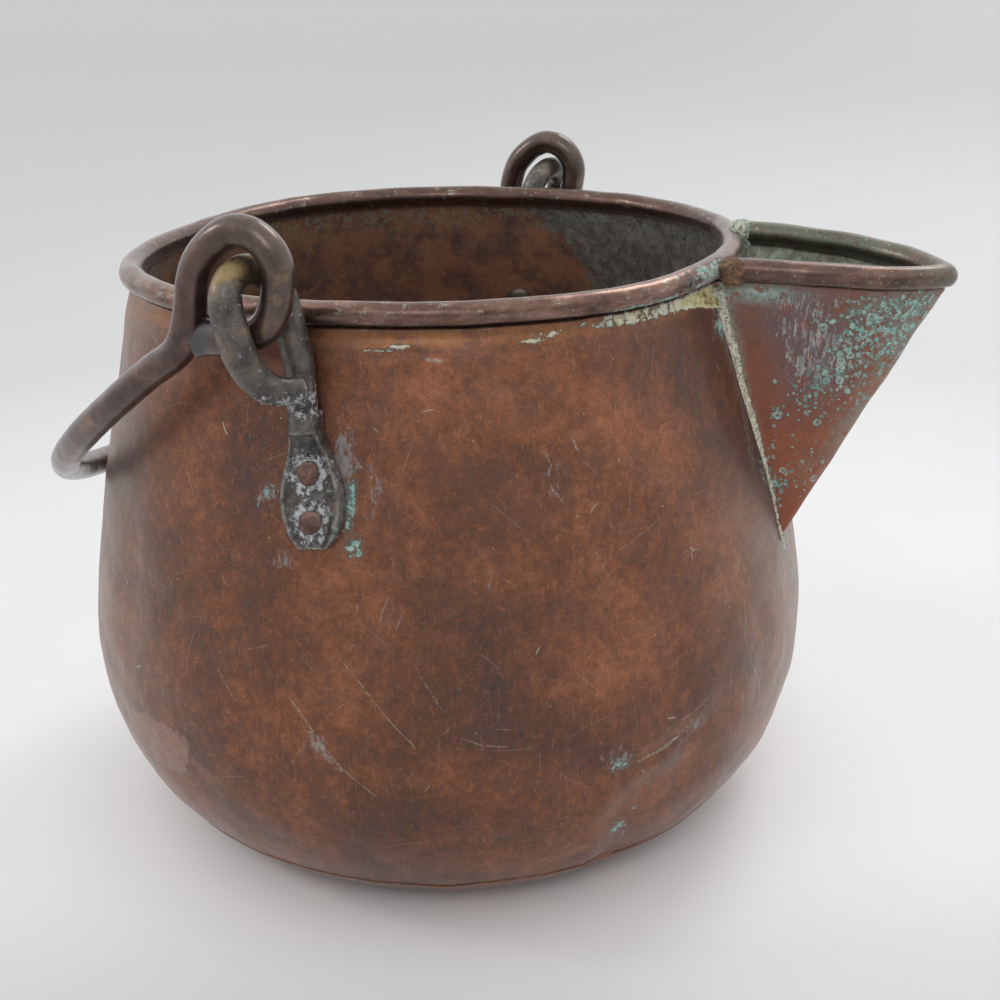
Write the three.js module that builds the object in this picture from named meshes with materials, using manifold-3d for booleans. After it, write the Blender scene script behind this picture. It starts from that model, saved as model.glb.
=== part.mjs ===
// Hand-raised copper pouring pot with a folded V spout, two forged ears and a swinging bail.
// Millimetres, +Z up. The origin is the middle of the foot, the spout points along +X,
// and the two ears stand at the front (-Y) and at the back (+Y).
import * as THREE from 'three';
import { mergeVertices } from 'three/addons/utils/BufferGeometryUtils.js';
import Module from 'manifold-3d';

const wasm = await Module();
wasm.setup();

// Clearances
const fit = 0.3;            // gap between pieces that touch
const rivetPlay = 0.3;      // rivet shank to its hole, all round

// Rolled rim
const rimRadius = 120;      // centreline of the roll
const rimHeight = 233;      // centreline of the roll above the floor
const rollRadius = 4.5;     // outside of the rolled edge
const rollSheet = 1.1;      // sheet thickness once it is rolled
const rollSlit = 26;        // degrees of open slit where the roll's edge meets the sheet again
const throatLean = 1.2;     // the wall's outside meets the roll this far outside its centreline
const throatDrop = 2;       // and the wall's own shape ends this far below the roll

// Pot wall and base: the mouth sets how wide the pot is lower down
const copperSheet = 1.4;    // wall of the pot, the base pan and the spout
const neckSwell = 8.2;      // each radius grows by its swell over the one above
const shoulderSwell = 14.2;
const bellySwell = 7.2;
const flankTuck = 7.9;      // and below the belly it is drawn in from the belly's by its tuck
const heelTuck = 31.1;
const footTuck = 52.6;
const neckRadius = rimRadius + neckSwell;
const neckHeight = 200;
const shoulderRadius = neckRadius + shoulderSwell;
const shoulderHeight = 140;
const bellyRadius = shoulderRadius + bellySwell;
const bellyHeight = 80;
const flankRadius = bellyRadius - flankTuck;
const flankHeight = 40;
const heelRadius = bellyRadius - heelTuck;
const heelHeight = 9;
const footRadius = bellyRadius - footTuck;  // flat part that stands on the floor
const panEdgeHeight = 18;   // where the base pan's edge laps over the wall
const lapDepth = 6;         // how far the wall's lower edge reaches down inside the pan
const tongueSheet = 1.0;    // the wall is thinned where it goes into the lap
const panFloorHeight = 0.8; // the pan's side starts this far above its flat foot

// The hammered mouth is a little out of round: parts of its radius, fading to none at the foot
const ovalness = -0.0257;
const squareness = -0.0194;
const eggShape = 0.0146;

// Spout: a folded copper sheet, open on top, soldered to the outside of the wall
const spoutLength = 77;
const spoutReach = rimRadius + spoutLength;  // tip centreline from the pot's axis
const spoutTipSide = -7;         // the tip stands a little towards the front
const spoutTipDrop = 4;          // tip of the spout's rim below the pot's rim
const spoutNearWidth = 29;       // root of the spout's rim, towards the front
const spoutFarWidth = 32;        // and towards the back
const spoutFarLift = 2.6;        // the back root stands higher than the front one
const spoutLipPower = 2.5;       // shape of the rim seen from above: long sides, closing late
const spoutTipPower = 1.4;       // and how round its tip is
const spoutApexHeight = 127;     // where the fold runs out on the wall
const spoutApexSide = -19;
const spoutBury = 22;            // the sheet is trimmed by the wall from this much further in
const foldAngle = 22;            // degrees between the fold and the wall at the apex
const rollStart = -78;           // degrees: where the sheet turns into the roll
const coneOverrun = 0.06;        // cutting cones run past the rim by this share of their length
const solderRadius = 2.8;
const strainerHole = 5;
const strainerPitch = 11;
const strainerMargin = 6;        // sheet left between the holes and the spout's seam
const strainerTop = 22;          // top row of holes below the rim's centreline

// Ears
const frontEarAngle = -90.8;     // degrees round the pot from the spout
const backEarAngle = 91.8;
const earLean = 5;               // degrees each ear stands out of plumb
const frontArchHeight = 251.3;   // centre of the ring's arch
const backArchHeight = 243.3;
const earWire = 10.2;            // diameter of the forged ring
const plateHeight = 173.8;       // middle of the riveted plate
const plateThickness = 3;
const plateHalfWidth = 11.8;
const plateFootHalfWidth = 5;
const plateNeckHalfWidth = 5.4;
const plateBelow = 17.6;         // plate below its middle
const plateAbove = 29;           // and above it, along the wall
const ringSpan = 25;             // stem centreline to outer leg centreline
const ringTwist = 20;            // degrees the ring is turned out of square
const ringDrop = 42.5;           // arch centre to where the ring's tail joins the stem
const stemBend = 4;              // and the ring bends over sideways by this much at the arch
const tailDip = 0.93;            // share of that drop the leg goes straight down first
const stemFootAbove = 22;        // foot of the round stem above the plate's middle

// Rivets
const rivetSpacing = 16.4;
const rivetShank = 5;
const rivetHead = 8.2;           // flat hammered head outside
const rivetHeadHeight = 1.3;
const rivetDome = 9.8;           // domed head inside
const rivetDomeHeight = 2.6;

// Bail
const bailRod = 10.8;
const bailDepth = 181;           // pivot axis to the middle of the bow
const bailOffset = 6.4;          // the bow's plane stands this far off the pivot axis
const bailWidthPower = 2.03;     // the bow's outline, a superellipse
const bailDepthPower = 2.74;
const bowStart = 36;             // depth at which the bow's formula takes over from the eye
const restGap = 0.5;             // bow to wall where it leans
const leastSwing = 20;           // degrees: the bow surely touches the wall
const mostSwing = 80;            // degrees: the bow is surely clear of it

// Facets
const turns = 48;
const rollSteps = 9;
const lipSteps = 30;

const degrees = Math.PI / 180;
const up = new THREE.Vector3(0, 0, 1);

// Materials
const finish = {
  wall: { color: 0x7a4a36, roughness: 0.55, metalness: 0.8 },
  base: { color: 0x6d4331, roughness: 0.6, metalness: 0.8 },
  spout: { color: 0x74442f, roughness: 0.6, metalness: 0.75 },
  wire: { color: 0x4a4440, roughness: 0.7, metalness: 0.9 },
  solder: { color: 0xb7b59a, roughness: 0.85, metalness: 0.3 },
  ear: { color: 0x5b5a50, roughness: 0.5, metalness: 0.85 },
  rivet: { color: 0x8a5240, roughness: 0.5, metalness: 0.85 },
  bail: { color: 0x5d4a45, roughness: 0.42, metalness: 0.9 },
};

// A closed body with shared corners, no empty faces, and its faces pointing out
function closedBody(geometry) {
  const bare = new THREE.BufferGeometry();
  bare.setAttribute('position', geometry.getAttribute('position').clone());
  if (geometry.index) bare.setIndex(geometry.index.clone());
  const merged = mergeVertices(bare, 1e-4);
  const corner = merged.index.array;
  const place = merged.getAttribute('position');
  const kept = [];
  let volume = 0;
  const a = new THREE.Vector3();
  const b = new THREE.Vector3();
  const c = new THREE.Vector3();
  for (let i = 0; i < corner.length; i += 3) {
    const [p, q, r] = [corner[i], corner[i + 1], corner[i + 2]];
    if (p === q || q === r || r === p) continue;
    kept.push(p, q, r);
    a.fromBufferAttribute(place, p);
    b.fromBufferAttribute(place, q);
    c.fromBufferAttribute(place, r);
    volume += a.dot(b.cross(c));
  }
  if (volume < 0) {
    for (let i = 0; i < kept.length; i += 3) {
      [kept[i + 1], kept[i + 2]] = [kept[i + 2], kept[i + 1]];
    }
  }
  merged.setIndex(kept);
  return merged;
}

function toSolid(geometry) {
  const body = closedBody(geometry);
  return new wasm.Manifold(new wasm.Mesh({
    numProp: 3,
    vertProperties: new Float32Array(body.getAttribute('position').array),
    triVerts: new Uint32Array(body.index.array),
  }));
}

// The main body of a cut solid, without the crumbs that a grazing cut leaves
function fromSolid(solid) {
  const bodies = solid.decompose().sort((a, b) => b.volume() - a.volume());
  const mesh = bodies[0].getMesh();
  const geometry = new THREE.BufferGeometry();
  geometry.setAttribute('position', new THREE.BufferAttribute(mesh.vertProperties, 3));
  geometry.setIndex(new THREE.BufferAttribute(mesh.triVerts, 1));
  return geometry;
}

// Shape of the pot

// Cross-section of the wall's outside: x is the radius, y is the height
const wallCurve = new THREE.CatmullRomCurve3([
  new THREE.Vector3(footRadius, 0, 0),
  new THREE.Vector3(heelRadius, heelHeight, 0),
  new THREE.Vector3(flankRadius, flankHeight, 0),
  new THREE.Vector3(bellyRadius, bellyHeight, 0),
  new THREE.Vector3(shoulderRadius, shoulderHeight, 0),
  new THREE.Vector3(neckRadius, neckHeight, 0),
  new THREE.Vector3(rimRadius + throatLean, rimHeight - rollRadius, 0),
], false, 'centripetal');
const outline = wallCurve.getPoints(240);

// Index of the outline point nearest above a height
function outlineStep(height) {
  let i = 1;
  while (i < outline.length - 1 && outline[i].y < height) i += 1;
  return i;
}

function outlineRadius(height) {
  const i = outlineStep(height);
  const low = outline[i - 1];
  const high = outline[i];
  const share = Math.min(Math.max((height - low.y) / (high.y - low.y), 0), 1);
  return low.x + share * (high.x - low.x);
}

// Rise of the wall's outside: the change of radius for each millimetre of height
function outlineSlope(height) {
  const step = 2;
  return (outlineRadius(height + step) - outlineRadius(height - step)) / (2 * step);
}

// How far the hammered shape departs from a circle at an angle and a height
function roundness(angle, height) {
  const share = Math.max(height, 0) / rimHeight;
  const waves = ovalness * Math.cos(2 * angle) + squareness * Math.cos(4 * angle)
    + eggShape * Math.cos(3 * angle);
  return 1 + share * share * waves;
}

function wallRadius(angle, height) {
  return outlineRadius(height) * roundness(angle, height);
}

// Turns a round body into the hammered shape
function hammered(geometry) {
  const place = geometry.getAttribute('position');
  for (let i = 0; i < place.count; i += 1) {
    const [x, y, z] = [place.getX(i), place.getY(i), place.getZ(i)];
    const factor = roundness(Math.atan2(y, x), z);
    place.setXY(i, x * factor, y * factor);
  }
  return geometry;
}

// A body of revolution round the pot's axis from points of radius and height
function turned(profile) {
  const points = profile.map(([radius, height]) => new THREE.Vector2(radius, height));
  const lathe = new THREE.LatheGeometry(points, turns);
  lathe.rotateX(Math.PI / 2);
  return hammered(closedBody(lathe));
}

// Points along the outline between two heights, moved inwards by an offset
function outlineRun(from, to, count, inset) {
  const run = [];
  const flatFoot = 2.5;
  for (let i = 0; i <= count; i += 1) {
    const height = from + (to - from) * i / count;
    const slope = outlineSlope(Math.max(height, flatFoot));
    const lean = Math.hypot(1, slope);
    run.push([outlineRadius(height) - inset / lean, height + inset * slope / lean]);
  }
  return run;
}

// The pot's outside as one plain body, grown by a margin, which trims what sits on the wall
function wallBlock(margin) {
  const lowest = 0.5;
  const side = outlineRun(lowest, rimHeight - rollRadius, 22, -margin);
  const top = rimHeight + rollRadius + margin;
  const roll = rimRadius + rollRadius + margin;
  return toSolid(turned([
    [0, 0], [outlineRadius(lowest) + margin, 0], ...side,
    [roll, rimHeight - rollRadius - margin], [roll, top], [0, top],
  ]));
}

// Pot wall with its rolled rim, open at the foot where the base pan closes it

function rollPoint(radius, angle) {
  return [
    rimRadius + radius * Math.cos(angle * degrees),
    rimHeight + radius * Math.sin(angle * degrees),
  ];
}

function rollArc(radius, from, to, steps) {
  const arc = [];
  for (let i = 0; i <= steps; i += 1) arc.push(rollPoint(radius, from + (to - from) * i / steps));
  return arc;
}

function wallProfile() {
  const jog = panEdgeHeight + fit;
  const tongueInset = copperSheet + fit;
  const jogRise = 3;
  const throat = rimHeight - rollRadius - throatDrop;
  const outerAngle = -Math.acos(throatLean / rollRadius) / degrees;
  const innerAngle = -Math.acos((throatLean - copperSheet) / rollRadius) / degrees;
  const slitEnd = outerAngle + rollSlit - 360;
  const profile = [
    ...outlineRun(jog - lapDepth, jog, 2, tongueInset),
    ...outlineRun(jog, throat, 10, 0),
    ...rollArc(rollRadius - rollSheet, outerAngle, slitEnd, rollSteps),
    ...rollArc(rollRadius, slitEnd, innerAngle, rollSteps),
    ...outlineRun(throat, jog + jogRise, 9, copperSheet),
    ...outlineRun(jog, jog - lapDepth, 2, tongueInset + tongueSheet),
  ];
  return [...profile, profile[0]];
}

// Spout

// Centreline of the spout's rolled rim, from its root at the front, round the tip, to the back
class SpoutLip extends THREE.Curve {
  constructor() {
    super();
    this.frontRoot = spoutRoot(-spoutNearWidth, 0);
    this.backRoot = spoutRoot(spoutFarWidth, spoutFarLift);
    this.tip = new THREE.Vector3(spoutReach, spoutTipSide, rimHeight - spoutTipDrop);
  }

  getPoint(share, target = new THREE.Vector3()) {
    const angle = (share - 0.5) * Math.PI;
    const forward = Math.pow(Math.abs(Math.cos(angle)), 2 / spoutLipPower);
    const sideways = Math.pow(Math.abs(Math.sin(angle)), 2 / spoutTipPower);
    const root = angle < 0 ? this.frontRoot : this.backRoot;
    return target.set(
      root.x + (this.tip.x - root.x) * forward,
      this.tip.y + (root.y - this.tip.y) * sideways,
      root.z + (this.tip.z - root.z) * Math.pow(forward, 1.5),
    );
  }

  // The section stays upright along the rim
  computeFrenetFrames(steps) {
    const tangents = [];
    const normals = [];
    const binormals = [];
    for (let i = 0; i <= steps; i += 1) {
      const tangent = this.getTangentAt(i / steps);
      const normal = new THREE.Vector3().crossVectors(tangent, up).normalize();
      tangents.push(tangent);
      normals.push(normal);
      binormals.push(new THREE.Vector3().crossVectors(normal, tangent));
    }
    return { tangents, normals, binormals };
  }
}

// Where the spout's rim starts on the outside of the pot's rim
function spoutRoot(side, lift) {
  let x = rimRadius;
  for (let i = 0; i < 20; i += 1) {
    const angle = Math.atan2(side, x);
    const edge = rimRadius * roundness(angle, rimHeight) + rollRadius + fit;
    x = Math.sqrt(edge * edge - side * side);
  }
  return new THREE.Vector3(x, side, rimHeight + lift);
}

function spoutApex() {
  const angle = Math.asin(spoutApexSide / outlineRadius(spoutApexHeight));
  const radius = wallRadius(angle, spoutApexHeight);
  return new THREE.Vector3(radius * Math.cos(angle), radius * Math.sin(angle), spoutApexHeight);
}

// The folded sheet is a cone: straight lines from its point to the rim.
// The rim's outline is moved outwards by an offset and down to where the roll takes over.
function foldedCone(point, outset, stretch) {
  const steps = 26;
  const rim = [];
  const drop = rollRadius - rollSheet / 2;
  for (let i = 0; i <= steps; i += 1) {
    const tangent = lip.getTangentAt(i / steps);
    const outward = new THREE.Vector3(tangent.y, -tangent.x, 0).normalize();
    const corner = lip.getPointAt(i / steps).addScaledVector(outward, outset);
    corner.z -= drop;
    rim.push(corner);
  }
  const root = new THREE.Vector3(-spoutBury, 0, 0);
  rim.unshift(rim[0].clone().add(root));
  rim.push(rim[rim.length - 1].clone().add(root));
  const place = [];
  for (const corner of rim) place.push(...corner.lerp(point, -stretch).toArray());
  place.push(...point.toArray());
  const flat = rim.map((corner) => new THREE.Vector2(corner.x, corner.y));
  const faces = THREE.ShapeUtils.triangulateShape(flat, []).flat();
  for (let i = 0; i < rim.length; i += 1) {
    faces.push((i + 1) % rim.length, i, rim.length);
  }
  const geometry = new THREE.BufferGeometry();
  geometry.setAttribute('position', new THREE.Float32BufferAttribute(place, 3));
  geometry.setIndex(faces);
  return toSolid(geometry);
}

// Section of the rolled edge: x points out of the spout, y points up
function rollShape(outer, inner, slitFrom, slitTo) {
  const shape = new THREE.Shape();
  const steps = rollSteps;
  const span = slitFrom + 360 - slitTo;
  for (let i = 0; i <= steps; i += 1) {
    const angle = (slitTo + span * i / steps) * degrees;
    const point = [outer * Math.cos(angle), outer * Math.sin(angle)];
    if (i === 0) shape.moveTo(...point);
    else shape.lineTo(...point);
  }
  for (let i = steps; i >= 0; i -= 1) {
    const angle = (slitTo + span * i / steps) * degrees;
    shape.lineTo(inner * Math.cos(angle), inner * Math.sin(angle));
  }
  shape.closePath();
  return shape;
}

function roundShape(radius, sides) {
  const shape = new THREE.Shape();
  for (let i = 0; i < sides; i += 1) {
    const angle = 2 * Math.PI * i / sides;
    if (i === 0) shape.moveTo(radius, 0);
    else shape.lineTo(radius * Math.cos(angle), radius * Math.sin(angle));
  }
  shape.closePath();
  return shape;
}

function swept(shape, path, steps) {
  return closedBody(new THREE.ExtrudeGeometry(shape, {
    steps, extrudePath: path, bevelEnabled: false,
  }));
}

const lip = new SpoutLip();
const apex = spoutApex();

function spoutSheet() {
  const half = copperSheet / 2;
  const inset = new THREE.Vector3(-copperSheet / Math.sin(foldAngle * degrees), 0, 0);
  const outside = foldedCone(apex, half, 0);
  const inside = foldedCone(apex.clone().add(inset), -half, coneOverrun);
  const section = rollShape(rollRadius, rollRadius - rollSheet, rollStart, rollStart + rollSlit);
  const roll = toSolid(swept(section, lip, lipSteps));
  return outside.subtract(inside).add(roll).subtract(wallBlock(fit));
}

// Half the width of the spout on the wall at a height, and the middle of it
function spoutSpan(height) {
  const top = rimHeight - rollRadius;
  const share = Math.min(Math.max((height - spoutApexHeight) / (top - spoutApexHeight), 0), 1);
  const front = spoutApexSide + (-spoutNearWidth - spoutApexSide) * share;
  const back = spoutApexSide + (spoutFarWidth - spoutApexSide) * share;
  return { middle: (front + back) / 2, half: (back - front) / 2 };
}

// Strainer holes in the wall behind the spout: as many as fit in each row of the triangle
function strainerHoles() {
  const holes = [];
  for (let height = rimHeight - strainerTop; height > spoutApexHeight; height -= strainerPitch) {
    const { middle, half } = spoutSpan(height);
    const room = 2 * (half - strainerMargin - strainerHole / 2);
    const count = room < 0 ? 0 : 1 + Math.floor(room / strainerPitch);
    for (let i = 0; i < count; i += 1) {
      const side = middle + (i - (count - 1) / 2) * strainerPitch;
      const drill = new THREE.CylinderGeometry(strainerHole / 2, strainerHole / 2, bellyRadius, 8);
      drill.rotateZ(-Math.PI / 2);
      drill.translate(bellyRadius, side, height);
      holes.push(toSolid(drill));
    }
  }
  return holes;
}

// Solder line along the spout's seam: down the front, round the apex and up the back
function seamPath() {
  const points = [];
  const rows = 7;
  for (const side of [-1, 1]) {
    const leg = [];
    for (let i = 1; i <= rows; i += 1) {
      const top = rimHeight - rollRadius - solderRadius;
      const height = apex.z + (top - apex.z) * i / rows;
      leg.push(seamPoint(height, side));
    }
    if (side < 0) points.push(...leg.reverse(), solderToe());
    else points.push(...leg);
  }
  return new THREE.CatmullRomCurve3(points, false, 'centripetal');
}

// Where a horizontal slice of the folded sheet crosses the wall
function seamPoint(height, side) {
  const drop = rollRadius - rollSheet / 2;
  const root = side < 0 ? lip.frontRoot : lip.backRoot;
  const share = (height - apex.z) / (root.z - drop - apex.z);
  const start = root.clone();
  start.x -= spoutBury;
  const slice = (along) => {
    const edge = along < 0.5
      ? start.clone().lerp(root, along * 2)
      : lip.getPointAt(side < 0 ? along - 0.5 : 1.5 - along);
    edge.z = root.z - drop;
    return apex.clone().lerp(edge, share);
  };
  let inside = 0;
  let outside = 0.9;
  for (let i = 0; i < 30; i += 1) {
    const middle = (inside + outside) / 2;
    const point = slice(middle);
    const reach = Math.hypot(point.x, point.y);
    if (reach < wallRadius(Math.atan2(point.y, point.x), height)) inside = middle;
    else outside = middle;
  }
  return slice((inside + outside) / 2);
}

// The solder gathers in a drop just below the apex
function solderToe() {
  const outward = new THREE.Vector3(apex.x, apex.y, 0).normalize();
  return apex.clone().addScaledVector(outward, solderRadius * 0.4)
    .addScaledVector(up, -solderRadius * 0.6);
}

function solderLine() {
  const toe = solderToe();
  const drop = new THREE.SphereGeometry(solderRadius * 1.25, 8, 6);
  drop.translate(toe.x, toe.y, toe.z);
  const fillet = toSolid(swept(roundShape(solderRadius, 7), seamPath(), 26)).add(toSolid(drop));
  const gap = fit / Math.sin(foldAngle * degrees);
  const below = apex.clone().add(new THREE.Vector3(gap, 0, -3 * gap));
  const sheet = foldedCone(below, copperSheet / 2 + fit, coneOverrun);
  const roll = toSolid(swept(roundShape(rollRadius + 2 * fit, rollSteps), lip, lipSteps));
  return fillet.subtract(wallBlock(fit)).subtract(sheet).subtract(roll);
}

// Ears

// Frame of an ear: x sideways, y along the wall upwards, z out of the wall
function plateFrame(angle) {
  const radius = wallRadius(angle, plateHeight);
  const tilt = Math.atan(-outlineSlope(plateHeight));
  const outward = new THREE.Vector3(Math.cos(angle), Math.sin(angle), 0);
  const sideways = new THREE.Vector3().crossVectors(up, outward);
  const normal = outward.clone().multiplyScalar(Math.cos(tilt)).addScaledVector(up, Math.sin(tilt));
  sideways.applyAxisAngle(normal, earLean * degrees);
  const along = new THREE.Vector3().crossVectors(normal, sideways);
  const origin = outward.clone().multiplyScalar(radius);
  origin.z = plateHeight;
  return new THREE.Matrix4().makeBasis(sideways, along, normal).setPosition(origin);
}

function plateShape() {
  const leaf = new THREE.Shape();
  const shoulder = 1;
  leaf.moveTo(-plateFootHalfWidth, -plateBelow);
  leaf.lineTo(plateFootHalfWidth, -plateBelow);
  leaf.bezierCurveTo(
    plateHalfWidth * 0.9, -plateBelow * 0.75,
    plateHalfWidth * 1.05, -plateBelow * 0.3,
    plateHalfWidth, shoulder,
  );
  leaf.bezierCurveTo(
    plateHalfWidth * 0.9, plateAbove * 0.35,
    plateNeckHalfWidth * 1.1, plateAbove * 0.5,
    plateNeckHalfWidth, plateAbove,
  );
  leaf.lineTo(-plateNeckHalfWidth, plateAbove);
  leaf.bezierCurveTo(
    -plateNeckHalfWidth * 1.1, plateAbove * 0.5,
    -plateHalfWidth * 0.9, plateAbove * 0.35,
    -plateHalfWidth, shoulder,
  );
  leaf.bezierCurveTo(
    -plateHalfWidth * 1.05, -plateBelow * 0.3,
    -plateHalfWidth * 0.9, -plateBelow * 0.75,
    -plateFootHalfWidth, -plateBelow,
  );
  return leaf;
}

// Distance of the stem's centreline from the pot's axis at a height: clear of wall and rim
function stemReach(angle, height) {
  const wall = wallRadius(angle, Math.min(height, rimHeight - rollRadius));
  const rim = rimRadius * roundness(angle, rimHeight) + rollRadius;
  const rimShare = THREE.MathUtils.smoothstep(height, neckHeight, rimHeight - rollRadius);
  const surface = wall * (1 - rimShare) + Math.max(wall, rim) * rimShare;
  return surface + 2 * fit + earWire / 2;
}

// A point of the ring: so far out of the stem, at a height, leaning and twisted as it was forged
function ringPoint(angle, archHeight, out, height) {
  const rise = Math.max(height - (archHeight - ringDrop), 0) / ringDrop;
  const lean = -Math.tan(earLean * degrees) * (height - plateHeight) - stemBend * rise * rise;
  const stemHeight = Math.min(height, rimHeight);
  const reach = stemReach(angle, stemHeight) + out * Math.cos(ringTwist * degrees);
  const side = lean - out * Math.sin(ringTwist * degrees);
  return new THREE.Vector3(
    reach * Math.cos(angle) - side * Math.sin(angle),
    reach * Math.sin(angle) + side * Math.cos(angle),
    height,
  );
}

// Centreline of stem and ring: up the stem, over the arch, down the leg and back to the stem
function ringPath(angle, archHeight) {
  const half = ringSpan / 2;
  const spring = archHeight - half;
  const foot = plateHeight + stemFootAbove;
  const points = [];
  for (let i = 0; i <= 3; i += 1) {
    points.push(ringPoint(angle, archHeight, 0, foot + (spring - foot) * i / 4));
  }
  for (let i = 0; i <= 6; i += 1) {
    const turn = Math.PI * (1 - i / 6);
    const out = half + half * Math.cos(turn);
    points.push(ringPoint(angle, archHeight, out, spring + half * Math.sin(turn)));
  }
  const tail = new THREE.QuadraticBezierCurve(
    new THREE.Vector2(ringSpan, spring),
    new THREE.Vector2(ringSpan * 1.08, archHeight - ringDrop * tailDip),
    new THREE.Vector2(1, archHeight - ringDrop),
  );
  for (const share of [0.3, 0.5, 0.7, 0.85, 1]) {
    const { x, y } = tail.getPoint(share);
    points.push(ringPoint(angle, archHeight, x, y));
  }
  return new THREE.CatmullRomCurve3(points, false, 'centripetal');
}

function rivetHoles(angle, radius) {
  const holes = [];
  for (const side of [-1, 1]) {
    const drill = new THREE.CylinderGeometry(radius, radius, 6 * rivetHead, 12);
    drill.rotateX(Math.PI / 2);
    drill.translate(0, side * rivetSpacing / 2, 0);
    holes.push(toSolid(drill.applyMatrix4(plateFrame(angle))));
  }
  return holes;
}

function ear(angle, archHeight) {
  const plate = new THREE.ExtrudeGeometry(plateShape(), {
    depth: plateThickness + 2 * copperSheet, bevelEnabled: false, curveSegments: 5,
  });
  plate.translate(0, 0, fit - 2 * copperSheet);
  plate.applyMatrix4(plateFrame(angle));
  const ring = swept(roundShape(earWire / 2, 8), ringPath(angle, archHeight), 36);
  const foot = new THREE.SphereGeometry(earWire / 2, 8, 6);
  const start = ringPoint(angle, archHeight, 0, plateHeight + stemFootAbove);
  foot.scale(1, 1, 1.8);
  foot.translate(start.x, start.y, start.z);
  let solid = toSolid(plate).add(toSolid(ring)).add(toSolid(foot));
  solid = solid.subtract(wallBlock(fit));
  for (const hole of rivetHoles(angle, rivetShank / 2 + rivetPlay)) solid = solid.subtract(hole);
  return fromSolid(solid);
}

// How far the wall's outside bulges out of the plate's plane where a rivet passes it
function wallBulge(angle, side) {
  const point = new THREE.Vector3(0, side * rivetSpacing / 2, 0).applyMatrix4(plateFrame(angle));
  return wallRadius(angle, point.z) - Math.hypot(point.x, point.y);
}

// Rivet: flat hammered head outside, shank through plate and wall, domed head inside
function rivet(angle, side) {
  const face = fit + plateThickness;
  const back = wallBulge(angle, side) - copperSheet - 2 * fit;
  const head = rivetHead / 2;
  const dome = rivetDome / 2;
  const shank = rivetShank / 2;
  const profile = [
    [0, face + fit + rivetHeadHeight],
    [head * 0.8, face + fit + rivetHeadHeight],
    [head, face + fit + rivetHeadHeight * 0.6],
    [head, face + fit],
    [shank, face + fit],
    [shank, back],
    [dome, back],
    [dome * 0.78, back - rivetDomeHeight * 0.62],
    [dome * 0.42, back - rivetDomeHeight * 0.92],
    [0, back - rivetDomeHeight],
  ];
  const points = profile.map(([radius, height]) => new THREE.Vector2(radius, height));
  const body = new THREE.LatheGeometry(points, 12);
  body.rotateX(Math.PI / 2);
  body.translate(0, side * rivetSpacing / 2, 0);
  return closedBody(body.applyMatrix4(plateFrame(angle)));
}

// Bail: one rod, its ends turned into eyes that hang in the ears

const frontAngle = frontEarAngle * degrees;
const backAngle = backEarAngle * degrees;

function archCentre(angle, archHeight) {
  return ringPoint(angle, archHeight, ringSpan / 2, archHeight);
}

const frontPivot = archCentre(frontAngle, frontArchHeight);
const backPivot = archCentre(backAngle, backArchHeight);
const bailSpan = frontPivot.distanceTo(backPivot);

// The eye's centreline round the pivot, while the bow hangs straight down:
// x across the bow, z along it. From the bow up the outside, over, and round to the cut end.
const eyeOutline = [
  [7.0, -38.5], [5.2, -33.5], [-0.9, -25.2], [-6.6, -19.2], [-10.8, -13.0], [-12.6, -5.9],
  [-12.6, 0.3], [-11.0, 5.6], [-6.6, 9.8], [-0.4, 11.7], [6.4, 10.4], [12.0, 5.7],
  [16.3, 0.2], [18.2, -5.2], [17.6, -11.8], [15.1, -17.7], [12.1, -22.0], [9.6, -25.6],
];

function bailPath() {
  const half = bailSpan / 2;
  const points = [];
  for (const [x, z] of eyeOutline.slice().reverse()) points.push(new THREE.Vector3(x, -half, z));
  const steps = 16;
  for (let i = 0; i <= 2 * steps; i += 1) {
    const turn = (i / steps - 1) * Math.PI / 2;
    const y = Math.sign(turn) * half * Math.pow(Math.abs(Math.sin(turn)), 2 / bailWidthPower);
    const depth = bailDepth * Math.pow(Math.abs(Math.cos(turn)), 2 / bailDepthPower);
    if (depth > bowStart + bailRod) points.push(new THREE.Vector3(bailOffset, y, -depth));
  }
  for (const [x, z] of eyeOutline) points.push(new THREE.Vector3(x, half, z));
  return new THREE.CatmullRomCurve3(points, false, 'centripetal');
}

// Places the bail on its two pivots, swung towards the side away from the spout
function bailPlacement(swing) {
  const along = backPivot.clone().sub(frontPivot).normalize();
  const across = new THREE.Vector3().crossVectors(along, up).normalize();
  const above = new THREE.Vector3().crossVectors(across, along);
  const middle = frontPivot.clone().lerp(backPivot, 0.5);
  return new THREE.Matrix4().makeBasis(across, along, above).setPosition(middle)
    .multiply(new THREE.Matrix4().makeRotationY(swing));
}

// Least distance from the bail's rod to the wall at a swing
function bailClearance(path, swing) {
  const matrix = bailPlacement(swing);
  let least = Infinity;
  for (const point of path.getPoints(300)) {
    point.applyMatrix4(matrix);
    if (point.z > rimHeight - rollRadius) continue;
    const wall = wallRadius(Math.atan2(point.y, point.x), point.z);
    const lean = Math.hypot(1, outlineSlope(point.z));
    least = Math.min(least, (Math.hypot(point.x, point.y) - wall) / lean - bailRod / 2);
  }
  return least;
}

// The bail leans on the wall: the swing at which its rod just clears it
function restSwing(path) {
  let touching = leastSwing * degrees;
  let clear = mostSwing * degrees;
  for (let i = 0; i < 30; i += 1) {
    const middle = (touching + clear) / 2;
    if (bailClearance(path, middle) < restGap) touching = middle;
    else clear = middle;
  }
  return clear;
}

function bail() {
  const path = bailPath();
  const rod = swept(roundShape(bailRod / 2, 8), path, 130);
  return rod.applyMatrix4(bailPlacement(restSwing(path)));
}

// Assembly

const pot = new THREE.Group();

function addPiece(name, geometry, look) {
  const mesh = new THREE.Mesh(geometry, new THREE.MeshStandardMaterial(look));
  mesh.name = name;
  pot.add(mesh);
}

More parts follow.
